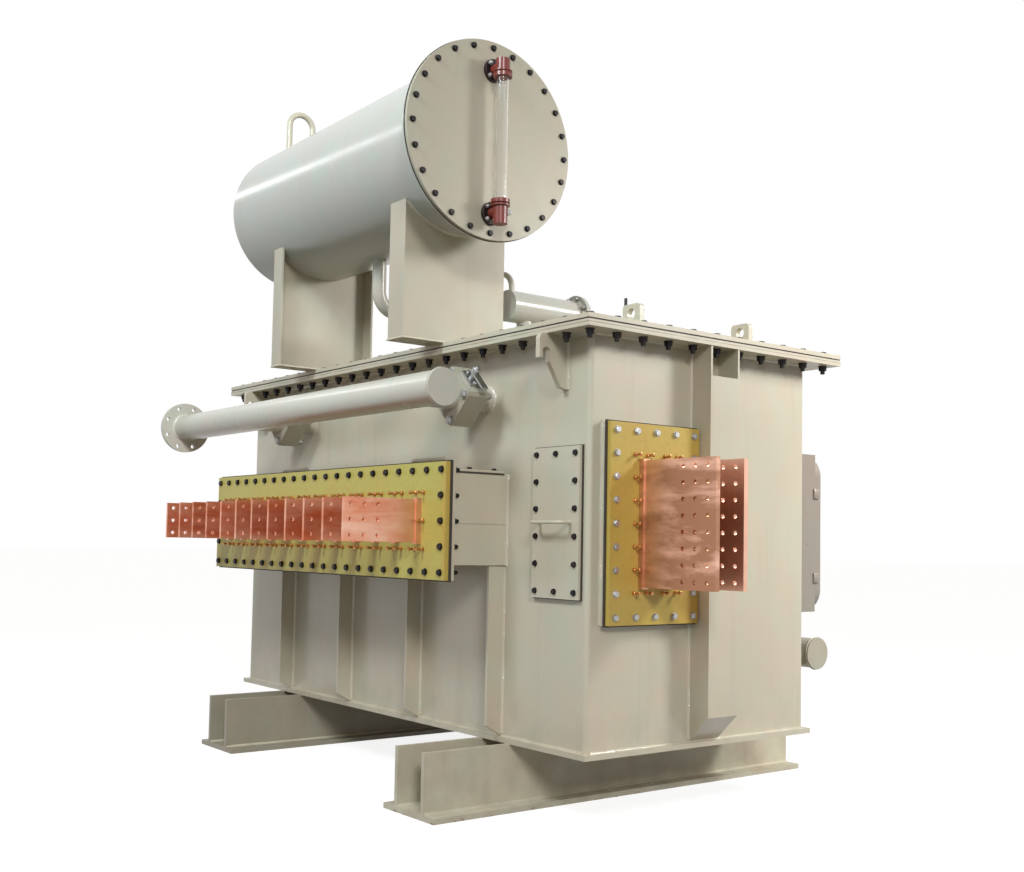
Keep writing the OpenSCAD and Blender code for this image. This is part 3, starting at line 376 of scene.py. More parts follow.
def add_piece(name, finish, shape):
    """A shape as an object that rides on the body and takes a finish; edges sharper than 35 degrees stay
    sharp."""
    verts, faces = shape
    mesh = bpy.data.meshes.new(name)
    loops = np.concatenate([block.ravel() for block in faces]).astype(np.int32)
    sizes = np.concatenate([np.full(len(block), block.shape[1]) for block in faces])
    mesh.vertices.add(len(verts))
    mesh.vertices.foreach_set("co", verts.astype(np.float32).ravel())
    mesh.loops.add(len(loops))
    mesh.loops.foreach_set("vertex_index", loops)
    mesh.polygons.add(len(sizes))
    mesh.polygons.foreach_set("loop_start", np.concatenate([[0], np.cumsum(sizes)[:-1]]).astype(np.int32))
    mesh.update(calc_edges=True)
    if mesh.validate():
        raise RuntimeError(f"{name} has faces that aren't valid")
    mesh.shade_smooth()
    mesh.set_sharp_from_angle(angle=math.radians(35.0))
    mesh.materials.append(finish_of(finish))
    piece = bpy.data.objects.new(name, mesh)
    bpy.context.scene.collection.objects.link(piece)
    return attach(piece, "root")


def corners(node):
    """Lowest and highest corner of a CAD node as arrays."""
    low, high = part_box(node)
    return np.array(low), np.array(high)


def middle_of(node):
    """Middle of a CAD node's box."""
    return sum(corners(node)) / 2


# Node trees


class Signal:
    """A node's output to reckon with: each sum or product adds a Math node to its tree."""

    def __init__(self, socket):
        self.socket, self.tree = socket, socket.id_data

    def maths(self, operation, other=0.0, clamp=False):
        """A Math node's result."""
        return out(make(self.tree, "Math", {0: self, 1: other}, operation=operation, use_clamp=clamp))

    def __add__(self, other):
        return self.maths("ADD", other)

    def __sub__(self, other):
        return self.maths("SUBTRACT", other)

    def __mul__(self, other):
        return self.maths("MULTIPLY", other)

    def __truediv__(self, other):
        return self.maths("DIVIDE", other)


def link_or_set(socket, value):
    """Joins a signal to a socket, or sets the socket's plain value."""
    if isinstance(value, Signal):
        socket.id_data.links.new(value.socket, socket)
    elif isinstance(value, (int, float)):
        socket.default_value = value
    else:
        value = tuple(value)
        socket.default_value = value + (1.0,) if len(value) == 3 and len(socket.default_value) == 4 else value


def make(tree, kind, inputs=None, **settings):
    """A node with its settings and inputs, which are given by name or place."""
    node = tree.nodes.new("ShaderNode" + kind)
    for key, value in settings.items():
        setattr(node, key, value)
    for key, value in (inputs or {}).items():
        link_or_set(node.inputs[key], value)
    return node


def out(node, key=0):
    """A node's output as a signal."""
    return Signal(node.outputs[key])


def signals(node):
    """A node's outputs as signals by name."""
    return {socket.name: Signal(socket) for socket in node.outputs}


def ranged(value, low, high, to_low=0.0, to_high=1.0):
    """A signal mapped smoothly from low..high to to_low..to_high."""
    places = {"Value": value, "From Min": low, "From Max": high, "To Min": to_low, "To Max": to_high}
    return out(make(value.tree, "MapRange", places, interpolation_type="SMOOTHSTEP"))


def mixed(share, first, second, blend="MIX"):
    """Two colours mixed by share; at least one of the three is a signal."""
    tree = next(value.tree for value in (share, first, second) if isinstance(value, Signal))
    return out(make(tree, "Mix", {0: share, 6: first, 7: second}, data_type="RGBA", blend_type=blend), 2)


def object_point(tree, scale=(1.0, 1.0, 1.0), shift=(0.0, 0.0, 0.0)):
    """The point on the object in metres, scaled and shifted."""
    source = out(make(tree, "TexCoord"), "Object")
    return out(make(tree, "Mapping", {"Vector": source, "Location": shift, "Scale": scale}))


def along_axis(point, axis):
    """A point's coordinate on an axis."""
    return out(make(point.tree, "SeparateXYZ", {0: point}), axis)


def noise(point, scale, detail=3.0, roughness=0.5, distortion=0.0):
    """Noise from 0 to 1 at a point."""
    return out(make(point.tree, "TexNoise", {
        "Vector": point, "Scale": scale, "Detail": detail, "Roughness": roughness, "Distortion": distortion,
    }))


def effect_group(name, colours, values):
    """An empty shader node group that gives Colour, Roughness and Height; returns its tree, its inputs as
    signals by name and the sockets of its output node."""
    tree = bpy.data.node_groups.new(name, "ShaderNodeTree")
    for side, names, kind in (
        ("INPUT", colours, "Color"), ("INPUT", values, "Float"),
        ("OUTPUT", ["Colour"], "Color"), ("OUTPUT", ["Roughness", "Height"], "Float"),
    ):
        for socket in names:
            tree.interface.new_socket(socket, in_out=side, socket_type="NodeSocket" + kind)
    return tree, signals(tree.nodes.new("NodeGroupInput")), tree.nodes.new("NodeGroupOutput").inputs


def weathered_paint_group():
    """Paint over welded plate: colour clouds, warm and cool blushes, vertical streaks, darkening towards the
    floor in patches, fine specks, rust in patches round one height, a dark seam at another, and a height in
    metres for the plate's waviness and the paint's orange peel."""
    tree, given, result = effect_group(
        "Weathered paint", ["Paint", "Grime", "Rust"], [
            "Mottle", "Streaks", "Low grime", "Roughness", "Waviness", "Rust height", "Rust reach",
            "Seam height",
        ],
    )
    point = object_point(tree)
    height = along_axis(point, 2)
    cloud = ranged(noise(point, 1.9, 5.0, 0.55), 0.3, 0.75)
    patch = noise(point, 11.0, 4.0, 0.6)
    blush = ranged(noise(object_point(tree, shift=(7.0, 3.0, 5.0)), 6.5, 3.0, 0.5), 0.38, 0.62)
    streak = ranged(noise(object_point(tree, (17.0, 17.0, 1.1)), 1.0, 6.0, 0.62), 0.52, 0.80)
    speck = ranged(noise(point, 190.0, 1.0), 0.70, 0.76)
    # Darker towards the floor, in patches.
    low = ranged(height, 0.55, 0.0) * ranged(patch, 0.25, 0.75)
    shade = cloud * given["Mottle"] + streak * given["Streaks"] + low * given["Low grime"]
    shade = shade.maths("ADD", speck * 0.18, clamp=True)
    blushes = mixed(blush, (1.0, 0.955, 0.93), (0.95, 0.985, 0.96))
    dirty = mixed(shade, mixed(1.0, given["Paint"], blushes, "MULTIPLY"), given["Grime"])
    rust_off = (height - given["Rust height"]).maths("ABSOLUTE") / given["Rust reach"]
    near = (rust_off * -1.0).maths("ADD", 1.0, clamp=True)
    rusty = ranged(noise(point, 26.0, 5.0, 0.65) + near * 0.10, 0.64, 0.76, 0.0, 0.8) * ranged(near, 0.0, 0.3)
    seam_off = (height - given["Seam height"]).maths("ABSOLUTE")
    seam = ranged(seam_off, 0.0024, 0.0008) * ranged(patch, 0.35, 0.6, 0.25, 0.75)
    link_or_set(result["Colour"], mixed(rusty, mixed(seam, dirty, given["Grime"]), given["Rust"]))
    rough = (patch - 0.5) * 0.16 + given["Roughness"] + shade * 0.35
    link_or_set(result["Roughness"], rough.maths("ADD", rusty * 0.4, clamp=True))
    waves = noise(point, 2.6, 2.0, 0.4) * given["Waviness"]
    peel = noise(point, 330.0, 2.0) * 0.00006 + noise(point, 46.0, 3.0) * 0.00012
    link_or_set(result["Height"], waves + peel + rusty * 0.0004)
    return tree


def brushed_metal_group():
    """Bare metal: clouds of tarnish, brush lines along one axis, and a height in metres for the lines."""
    tree, given, result = effect_group("Brushed metal", ["Metal", "Tarnish"], ["Tarnish share", "Roughness"])
    cloud = noise(object_point(tree, (4.0, 4.0, 15.0)), 1.0, 5.0, 0.58, 0.35)
    fine = noise(object_point(tree), 34.0, 4.0, 0.6)
    lines = noise(object_point(tree, (9.0, 9.0, 420.0)), 1.0, 3.0, 0.6)
    share = ranged(cloud, 0.30, 0.70) * given["Tarnish share"]
    share = share.maths("ADD", ranged(fine, 0.5, 0.8) * 0.22, clamp=True)
    link_or_set(result["Colour"], mixed(share, given["Metal"], given["Tarnish"]))
    rough = fine * 0.14 + given["Roughness"]
    link_or_set(result["Roughness"], rough.maths("ADD", lines * 0.12, clamp=True))
    link_or_set(result["Height"], fine * 0.00025 + lines * 0.00005)
    return tree


def finish_of(name):
    """The material that the finishes operator made under a name."""
    return bpy.data.materials["finish_" + name]


def new_finish(name):
    """An empty material for a finish; returns its tree and its Principled shader."""
    material = bpy.data.materials.new("finish_" + name)
    material.use_nodes = True
    return material.node_tree, material.node_tree.nodes["Principled BSDF"]


def use_group(tree, group, **values):
    """A group placed in a material with its own values, as signals; underscores in the names stand for
    spaces."""
    node = tree.nodes.new("ShaderNodeGroup")
    node.node_tree = group
    for key, value in values.items():
        link_or_set(node.inputs[key.replace("_", " ")], value)
    return signals(node)


def set_surface(shader, made, **plain):
    """Joins Colour, Roughness and Height in metres to the shader and sets its plain sockets."""
    bump = make(shader.id_data, "Bump", {"Height": made["Height"], "Distance": 1.0, "Strength": 1.0})
    surface = {"Base Color": made["Colour"], "Roughness": made["Roughness"], "Normal": out(bump), **plain}
    for key, value in surface.items():
        link_or_set(shader.inputs[key.replace("_", " ")], value)


def metal_finish(slot, group, metal, tarnish, share, roughness):
    """A bare metal finish."""
    tree, shader = new_finish(slot)
    made = use_group(tree, group, Metal=metal, Tarnish=tarnish, Tarnish_share=share, Roughness=roughness)
    set_surface(shader, made, Metallic=1.0)


def copper_finish(group, settings):
    """Cold rolled copper, bright at the boards and tarnished towards the bars' outer ends: red on the front
    bars, each by its own chance, and brown on the nearer of the two end bars. The clean copper at the boards
    is partly a painted reflection of the studs, and the nearer end bar's brown is partly painted shade."""
    tree, shader = new_finish("copper")
    point = object_point(tree)
    x, y = along_axis(point, 0), along_axis(point, 1)
    end_face, front_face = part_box("end_terminal_board")[1][0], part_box("front_terminal_board")[0][1]
    front_outer = ranged(y, front_face - 0.03, front_face - 0.17)
    outer = ranged(x, end_face + 0.04, end_face + 0.20).maths("MAXIMUM", front_outer)
    on_end = x.maths("GREATER_THAN", end_face - 0.2)
    first, last = corners("front_busbars")
    gaps, bar = 11, 0.012
    turn = (x - (first[0] - 0.02)) / ((last[0] - first[0] - bar) / gaps)
    chance = out(make(tree, "TexWhiteNoise", {"W": turn.maths("FLOOR")}, noise_dimensions="1D"), "Value")
    reach = chance * 0.45 + 0.40
    # Little tarnish at the boards, partly real clean copper and partly a painted reflection of the studs;
    # more on the end bars, partly as painted shade.
    share = outer * reach.maths("MAXIMUM", on_end) + (on_end * 0.35 + 0.40)
    far_bar = on_end * y.maths("GREATER_THAN", middle_of("end_busbars")[1])
    share = share * (far_bar * -0.9 + 1.0)
    red = mixed(chance * 0.35, settings.copper_tint, settings.copper_brown_and_shade)
    tint = mixed(on_end, red, settings.copper_brown_and_shade)
    made = use_group(tree, group, Metal=settings.copper, Tarnish=tint, Tarnish_share=share, Roughness=0.26)
    set_surface(shader, made, Metallic=1.0)


def board_finish(settings):
    """Epoxy glass laminate: yellow-green with an amber cloud, a faint weave and a sealed gloss."""
    tree, shader = new_finish("insulating_board")
    point = object_point(tree)
    cloud = ranged(noise(point, 5.0, 4.0, 0.6), 0.40, 0.72)
    weave = noise(object_point(tree, (260.0, 260.0, 900.0)), 1.0, 2.0)
    right_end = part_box("front_terminal_board")[1][0]
    amber = ranged(along_axis(point, 0), right_end - 0.035, right_end, 0.0, 0.5)
    tint = (cloud * 0.26).maths("ADD", amber, clamp=True)
    fine = ranged(noise(point, 60.0, 4.0, 0.7), 0.45, 0.80, 0.0, 0.35)
    base = mixed(fine, mixed(tint, settings.board, settings.board_edge), (0.30, 0.22, 0.03))
    set_surface(shader, {"Colour": base, "Roughness": weave * 0.18 + 0.30, "Height": weave * 0.00008})


def rubber_finish(settings):
    """Matt rubber with a fine grain."""
    tree, shader = new_finish("black_rubber")
    grain = noise(object_point(tree), 220.0, 3.0)
    dusty = mixed(ranged(grain, 0.45, 0.8, 0.0, 0.4), settings.rubber, (0.06, 0.055, 0.05))
    set_surface(shader, {"Colour": dusty, "Roughness": grain * 0.2 + 0.55, "Height": grain * 0.0002})


def glass_finish():
    """Clear gauge glass with a thin film of dust."""
    tree, shader = new_finish("gauge_glass")
    film = noise(object_point(tree, (30.0, 30.0, 6.0)), 1.0, 4.0)
    link_or_set(shader.inputs["Roughness"], ranged(film, 0.35, 0.75, 0.04, 0.10))
    link_or_set(shader.inputs["Base Color"], (1.0, 1.0, 0.995))
    link_or_set(shader.inputs["Transmission Weight"], 1.0)
    link_or_set(shader.inputs["IOR"], 1.28)


# Operators


class DressingOperator:
    """What the dressing operators share: settings is the name of the property group that build is given."""

    bl_options = {"REGISTER", "UNDO"}
    settings = "transformer_fasteners"

    def execute(self, context):
        self.build(getattr(context.scene, self.settings))
        return {"FINISHED"}


class TRANSFORMER_OT_finishes(DressingOperator, bpy.types.Operator):
    """Make the finishes and put them on the solids"""

    bl_idname = "transformer.finishes"
    bl_label = "Paint, metal, board and glass finishes"
    settings = "transformer_finishes"

    def build(self, s):
        self.make_paints(s)
        metal = brushed_metal_group()
        copper_finish(metal, s)
        metal_finish("brass_stud", metal, s.brass, (0.34, 0.16, 0.05), 0.5, 0.22)
        metal_finish("zinc_steel", metal, s.zinc, (0.30, 0.29, 0.27), 0.6, 0.26)
        metal_finish("black_bolt", metal, s.black_oxide, (0.05, 0.045, 0.04), 0.6, 0.34)
        board_finish(s)
        rubber_finish(s)
        glass_finish()
        slots = {part["node"]: part["material_slot"] for part in frame["record"]["subparts"]}
        own = {
            "tank_flange": "flange_paint", "cover_plate": "flange_paint",
            # Both supports, the conservator's end plate and the left skid take darker copies of their paint
            # as painted shade.
            "conservator_support_right": "dull_support", "conservator_support_left": "dull_support",
            "conservator_end_plate": "dull_plate", "skid_right": "skid_paint", "skid_left": "dull_skid",
            # The back header takes the darker valve paint as painted shade.
            "butterfly_valves": "valve_paint", "back_header_pipe": "valve_paint",
            # The cabinet and its door take the cabinet paint, darkened as painted shade.
            "control_cabinet": "cabinet_paint", "cabinet_door": "cabinet_paint",
        }
        for node, solid in frame["nodes"].items():
            for place in solid.material_slots:
                place.material = finish_of(own.get(node, slots[node]))

    def make_paints(self, s):
        """The painted steel finishes. A row holds mottle, streaks, low darkening, roughness and waviness,
        then what else differs from the plain case; rust is the height and reach of its patches. The shaded
        rows are darker copies of a paint, as painted shade."""
        group = weathered_paint_group()
        cover_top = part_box("cover_plate")[1][2]
        seam = middle_of("tank_flange")[2] + 0.002
        # Darker copies of a paint for parts in shade: painted shade, with rust round the cover's top.
        shaded_row = (0.12, 0.12, 0.2, 0.42, 0.0008, {"rust": (cover_top, 0.012)})
        for name, paint, mottle, streaks, low_darkening, roughness, waviness, other in (
            ("tank_paint", s.tank_paint, 0.12, 0.14, 0.26, 0.32, 0.0016, {"coat": 0.3}),
            ("flange_paint", s.tank_paint, 0.12, 0.12, 0.0, 0.36, 0.0004, {"seam": seam}),
            ("support_paint", s.tank_paint, 0.12, 0.14, 0.0, 0.36, 0.0008, {"rust": (cover_top, 0.016)}),
            ("skid_paint", s.skid_paint, 0.12, 0.10, 0.26, 0.46, 0.0010, {"rust": (0.0, 0.010)}),
            ("dull_support", [0.82 * part for part in s.tank_paint], *shaded_row),
            ("dull_skid", [0.58 * part for part in s.skid_paint], *shaded_row),
            ("dull_plate", [0.76 * part for part in s.tank_paint], *shaded_row),
            ("valve_paint", s.valve_paint, 0.45, 0.20, 0.0, 0.40, 0.0006, {}),
            ("cabinet_paint", s.cabinet_paint, 0.10, 0.10, 0.0, 0.30, 0.0004, {}),
            ("pipe_paint", s.pipe_paint, 0.08, 0.06, 0.0, 0.24, 0.0003, {}),
            ("conservator_paint", s.shell_paint, 0.08, 0.08, 0.0, 0.22, 0.0008, {}),
            ("oxide_red", s.oxide_red, 0.35, 0.2, 0.0, 0.26, 0.0002, {"grime": (0.05, 0.012, 0.01)}),
        ):
            tree, shader = new_finish(name)
            rust_height, rust_reach = other.get("rust", (NOWHERE, 0.01))
            made = use_group(
                tree, group, Paint=paint, Grime=other.get("grime", s.grime), Rust=s.rust, Mottle=mottle,
                Streaks=streaks, Low_grime=low_darkening, Roughness=roughness, Waviness=waviness,
                Rust_height=rust_height, Rust_reach=rust_reach, Seam_height=other.get("seam", NOWHERE),
            )
            set_surface(shader, made, Coat_Weight=other.get("coat", 0.0), Coat_Roughness=0.12)


class TRANSFORMER_OT_cover_bolts(DressingOperator, bpy.types.Operator):
    """Make the bolts and nuts round the cover, and the small stud near a lug"""

    bl_idname = "transformer.cover_bolts"
    bl_label = "Cover bolts"

    def build(self, s):
        top = corners("cover_plate")[1][2]
        edge = corners("cover_plate")[1][:2] - s.cover_edge
        spots = rectangle_spots(-edge, edge, s.cover_long, s.cover_short - 2)
        turns = np.random.default_rng(11).uniform(0, TAU, len(spots))
        under = corners("tank_flange")[0][2]
        add_piece("cover_bolts", "black_bolt", joined([
            placed(hex_bolt(s.cover_bolt), on_plane(spots, 2, top), Z, turns),
            placed(hex_nut(s.cover_bolt, 0.012), on_plane(spots, 2, under), -Z, turns[::-1]),
        ]))
        lug = corners("cover_lifting_lugs")[0]
        stud = turned([
            [0, 0, 0], [0.016, 0, 0], [0.016, 0.003, 0], [0.0125, 0.003, 1], [0.0125, 0.015, 1],
            [0.0055, 0.016, 0], [0.0055, 0.117, 0], [0.0045, 0.120, 0], [0, 0.120, 0],
        ])
        add_piece("cover_stud", "black_bolt", placed(stud, [-lug[0] - 0.081, lug[1] + 0.013, top], Z))


class TRANSFORMER_OT_board_bolts(DressingOperator, bpy.types.Operator):
    """Make the bolts of the two terminal boards, the duct's top cover and the inspection cover"""

    bl_idname = "transformer.board_bolts"
    bl_label = "Board and small cover bolts"

    def build(self, s):
        rng = np.random.default_rng(12)
        board_bolt, small_bolt = hex_bolt(s.board_bolt), hex_bolt(0.85 * s.board_bolt)
        low, high = corners("front_terminal_board")
        spots = rectangle_spots(low[[0, 2]] + s.board_edge, high[[0, 2]] - s.board_edge, 21, 3)
        flange_back = corners("duct_flange")[1][1]
        add_piece("front_board_bolts", "black_bolt", joined([
            scattered(board_bolt, on_plane(spots, 1, low[1]), -Y, rng),
            scattered(hex_nut(1.2 * s.board_bolt, 0.014), on_plane(spots, 1, flange_back), Y, rng),
        ]))
        low, high = corners("duct_top_cover")
        inset = 0.02
        along = np.linspace(low[0] + inset, high[0] - inset, 12)
        near, far = high[1] - 0.126, high[1] - 0.025
        spots = [[x, y] for x in along[[0, -1]] for y in (near, far)] + [[x, far] for x in along[1:-1]]
        face = on_plane(spots, 2, high[2])
        add_piece("duct_cover_bolts", "black_bolt", scattered(small_bolt, face, Z, rng))
        low, high = corners("end_terminal_board")
        spots = rectangle_spots(low[1:] + s.board_edge, high[1:] - s.board_edge, 5, 7)
        face = on_plane(spots, 0, high[0])
        add_piece("end_board_bolts", "zinc_steel", scattered(board_bolt, face, X, rng))
        half_width, pitch, bolts = 0.0955, 0.0872, 6
        middle = middle_of("inspection_cover")
        rows = middle[2] + pitch * (np.arange(bolts) - (bolts - 1) / 2)
        spots = [[middle[0] + side * half_width, z] for side in (-1, 1) for z in rows]
        spots += [[middle[0], z] for z in rows[[0, -1]]]
        face = on_plane(spots, 1, corners("inspection_cover")[0][1])
        add_piece("inspection_cover_bolts", "black_bolt", scattered(small_bolt, face, -Y, rng))


class TRANSFORMER_OT_clamp_studs(DressingOperator, bpy.types.Operator):
    """Make the brass studs that clamp the bars in the boards"""

    bl_idname = "transformer.clamp_studs"
    bl_label = "Clamp studs"

    def build(self, s):
        rng = np.random.default_rng(13)
        stud = clamp_stud(s.clamp_stud, 0.030)
        half_bar = 0.005
        for name, axis, way, face, bars, side, rows in (
            ("front", 1, -Y, corners("front_terminal_board")[0][1], 12, 0.023, 0.093 * (np.arange(3) - 1)),
            ("end", 0, X, corners("end_terminal_board")[1][0], 2, 0.027, 0.0724 * (np.arange(7) - 3)),
        ):
            low, high = (np.delete(corner, axis) for corner in corners(name + "_busbars"))
            middle = (low[1] + high[1]) / 2
            places = np.linspace(low[0] + half_bar, high[0] - half_bar, bars)
            columns = [place + lean for place in places for lean in (-side, side)]
            spots = on_plane([[column, middle + row] for column in columns for row in rows], axis, face)
            add_piece(name + "_clamp_studs", "brass_stud", scattered(stud, spots, way, rng))


class TRANSFORMER_OT_conservator_bolts(DressingOperator, bpy.types.Operator):
    """Make the bolts round the conservator's end plate"""

    bl_idname = "transformer.conservator_bolts"
    bl_label = "Conservator end bolts"

    def build(self, s):
        spots = circle_spots(middle_of("conservator_end_plate")[1:], s.end_ring, 24)
        face = on_plane(spots, 0, corners("conservator_end_plate")[1][0])
        rng = np.random.default_rng(14)
        add_piece("conservator_end_bolts", "black_bolt", scattered(hex_bolt(s.end_bolt), face, X, rng))


class TRANSFORMER_OT_valve_fasteners(DressingOperator, bpy.types.Operator):
    """Make the bolts, nuts and gland screws of the four valves"""

    bl_idname = "transformer.valve_fasteners"
    bl_label = "Valve bolts and nuts"

    def build(self, s):
        rng = np.random.default_rng(15)
        low, high = corners("butterfly_valves")
        wall_side = corners("valve_stubs")[1][1]
        half_valve, gland_top, spindle_top = 0.100, 0.085, 0.111
        slant, along = (X + Z) / math.sqrt(2), (X - Z) / math.sqrt(2)
        gland_screws = np.array([along, -along]) * 0.028
        ring = np.array([X, -X, Z, -Z]) * s.valve_ring / 2
        bolts, screws = [], []
        for side, height in ((-1, high[2] - half_valve), (1, low[2] + half_valve)):
            way = side * Y
            for across in (-1, 1):
                centre = np.array([across * (high[0] - half_valve), 0.0, height])
                body = centre + way * (high[1] + wall_side) / 2
                turns = rng.uniform(0, TAU, 4)
                bolts += [
                    placed(hex_bolt(s.valve_bolt), centre + ring + way * high[1], way, turns),
                    placed(hex_nut(s.valve_bolt, 0.008), centre + ring + way * wall_side, -way, turns),
                ]
                screws += [
                    placed(hex_bolt(0.008), body + slant * gland_top + gland_screws, slant, turns[:2]),
                    placed(hex_nut(0.014, 0.006), body + slant * spindle_top, slant, turns[:1]),
                ]
        add_piece("valve_bolts", "zinc_steel", joined(bolts))
        add_piece("gland_screws", "zinc_steel", joined(screws))


class TRANSFORMER_OT_gauge_fasteners(DressingOperator, bpy.types.Operator):
    """Make the discs and nuts that hold the oil gauge to the end plate, and the rings that clamp its glass"""

    bl_idname = "transformer.gauge_fasteners"
    bl_label = "Gauge discs, rings and nuts"

    def build(self, s):
        low, high = corners("gauge_glass")
        axis = middle_of("gauge_glass")
        face = corners("conservator_end_plate")[1][0]
        arm_rise, disc, thick, hole = 0.038, 0.0398, 0.0128, 0.0202
        arms = np.array([[face, axis[1], high[2] + arm_rise], [face, axis[1], low[2] - arm_rise]])
        ring = ringed([
            [hole, 0.0], [disc - 0.001, 0.0], [disc, 0.001], [disc, thick - 0.002], [disc - 0.002, thick],
            [hole, thick],
        ], 32)
        add_piece("gauge_discs", "black_bolt", placed(ring, arms, X))
        clamp = ringed([
            [0.0252, 0.0], [0.0315, 0.0], [0.0330, 0.0015], [0.0330, 0.0055], [0.0315, 0.007],
            [0.0252, 0.007],
        ], 32)
        above, below = 0.0165, 0.0235
        ends = [[axis[0], axis[1], high[2] + above], [axis[0], axis[1], low[2] - below]]
        add_piece("gauge_clamp_rings", "oxide_red", placed(clamp, ends, Z))
        rng = np.random.default_rng(16)
        angle = np.radians([45, 135, 225, 315])
        round_arm = np.stack([np.zeros(4), np.cos(angle), np.sin(angle)], -1) * 0.0305
        spots = (arms[:, None] + X * thick + round_arm).reshape(-1, 3)
        drain = [axis[0], axis[1] + 0.0245, low[2] - arm_rise]
        add_piece("gauge_nuts", "zinc_steel", joined([
            scattered(hex_nut(0.008, 0.003), spots, X, rng), placed(hex_nut(0.013, 0.008), drain, Y),
        ]))


class TRANSFORMER_OT_gasket_edges(DressingOperator, bpy.types.Operator):
    """Make the gaskets' edges that stand out of the boards, the small covers and the conservator's end"""

    bl_idname = "transformer.gasket_edges"
    bl_label = "Gasket edges"

    def build(self, s):
        plate_low, plate_high = corners("conservator_end_plate")
        gasket_low, gasket_high = corners("conservator_gasket")
        outer = (plate_high[2] - plate_low[2]) / 2 + 0.0025
        inner, thick = outer - 0.006, gasket_high[0] - gasket_low[0]
        ring = ringed([[inner, 0.0], [outer, 0.0], [outer, thick], [inner, thick]], 128)
        strips = [placed(ring, [gasket_low[0], *middle_of("conservator_end_plate")[1:]], X)]
        hatch_back = corners("inspection_cover")[1][1]
        cover_under = corners("duct_top_cover")[0][2]
        front_back, end_back = corners("front_terminal_board")[1][1], corners("end_terminal_board")[0][0]
        for node, axis, bottom, top, proud in (
            ("inspection_cover", 1, hatch_back, hatch_back + 0.006, 0.003),
            ("duct_top_cover", 2, cover_under - 0.006, cover_under, 0.002),
            ("front_terminal_board", 1, front_back, corners("duct_flange")[0][1], 0.005),
            ("end_terminal_board", 0, corners("end_terminal_flange")[1][0], end_back, 0.005),
        ):
            strips.append(frame_strip(*corners(node), axis, bottom, top, proud))
        add_piece("gasket_edges", "black_rubber", joined(strips))


class TRANSFORMER_OT_cover_header_bolts(DressingOperator, bpy.types.Operator):
    """Make the bolts of the cover header's flange"""

    bl_idname = "transformer.cover_header_bolts"
    bl_label = "Cover header bolts"

    def build(self, s):
        rng = np.random.default_rng(17)
        low, high = corners("cover_header_pipe")
        flange_half, flange_thick = 0.082, 0.016
        centre = [(low[0] + high[0]) / 2, high[2] - flange_half]
        spots = on_plane(circle_spots(centre, s.relief_ring, 8, 0.5), 1, high[1])
        turns = rng.uniform(0, TAU, 8)
        add_piece("cover_header_bolts", "zinc_steel", joined([
            placed(hex_bolt(0.010), spots, Y, turns),
            placed(hex_nut(0.010, 0.005), spots - Y * flange_thick, -Y, turns),
        ]))


class TRANSFORMER_OT_cabinet_clips(DressingOperator, bpy.types.Operator):
    """Make the clips that hold the cabinet's door"""

    bl_idname = "transformer.cabinet_clips"
    bl_label = "Cabinet clips"

    def build(self, s):
        low, high = corners("cabinet_door")
        seam = corners("control_cabinet")[1][1]
        outline = rounded(0.007, 0.030, 0.003) * np.array([0.6, 1.0, 1.0, 0.6])[:, None, None]
        clips = []
        for face in (high[0] + 0.0025, low[0] - 0.0025):
            for height in (1.067, 0.755):
                path = [[face, seam + 0.004, height + rise] for rise in (-0.019, -0.017, 0.017, 0.019)]
                clips.append(carried(path, X, Y, outline))
        # The clips share the cabinet's paint, darkened as painted shade.
        add_piece("cabinet_clips", "cabinet_paint", joined(clips))


class WeldOperator(DressingOperator):
    """What the operators for weld beads share: seed is for the beads' random numbers."""

    settings = "transformer_welds"

    def build(self, s):
        self.weld(Beads(s, self.seed))


class TRANSFORMER_OT_tank_welds(WeldOperator, bpy.types.Operator):
    """Make the weld beads of the tank's walls, stiffeners and hooks"""

    bl_idname = "transformer.tank_welds"
    bl_label = "Tank welds"
    seed = 21

    def weld(self, beads):
        half_len = corners("tank_right_end_wall")[1][0]
        half_dep = -corners("tank_front_wall")[0][1]
        floor = corners("tank_base_plate")[1][2]
        flange = corners("tank_flange")[0][2]
        bottom, gap, box_half, flat_half, hook_half = floor + 0.01, 0.01, 0.069, 0.005, 0.010
        long_end, short_end = half_len - 0.015, half_dep - 0.015
        for side in (-1, 1):
            y, x = side * half_dep, side * half_len
            for level, up in ((floor, Z), (flange, -Z)):
                beads.run((-long_end, y, level), (long_end, y, level), side * Y, up)
                beads.run((x, -short_end, level), (x, short_end, level), side * X, up)
            for lean in (-1, 1):
                edge = lean * box_half
                beads.run((x, edge, bottom), (x, edge, flange - gap), side * X, lean * Y)
        beads.piece("wall_welds", "tank_paint")
        duct_low = corners("terminal_duct")[0][2]
        cabinet_low, cabinet_high = corners("control_cabinet")
        for middle in 0.494 * (np.arange(4) - 1.5):
            behind = cabinet_low[0] - 0.01 < middle < cabinet_high[0]
            top = cabinet_low[2] if behind else flange
            for lean in (-1, 1):
                x = middle + lean * flat_half
                beads.run((x, -half_dep, bottom), (x, -half_dep, duct_low - 0.005), lean * X, -Y)
                beads.run((x, half_dep, bottom), (x, half_dep, top - gap), lean * X, Y)
        hook_x = corners("tank_lifting_hooks")[1][0] - hook_half
        for side in (-1, 1):
            for across in (-1, 1):
                for lean in (-1, 1):
                    x, y = across * hook_x + lean * hook_half, side * half_dep
                    beads.run((x, y, flange - 0.17), (x, y, flange - gap), lean * X, side * Y)
        beads.piece("stiffener_welds", "tank_paint")


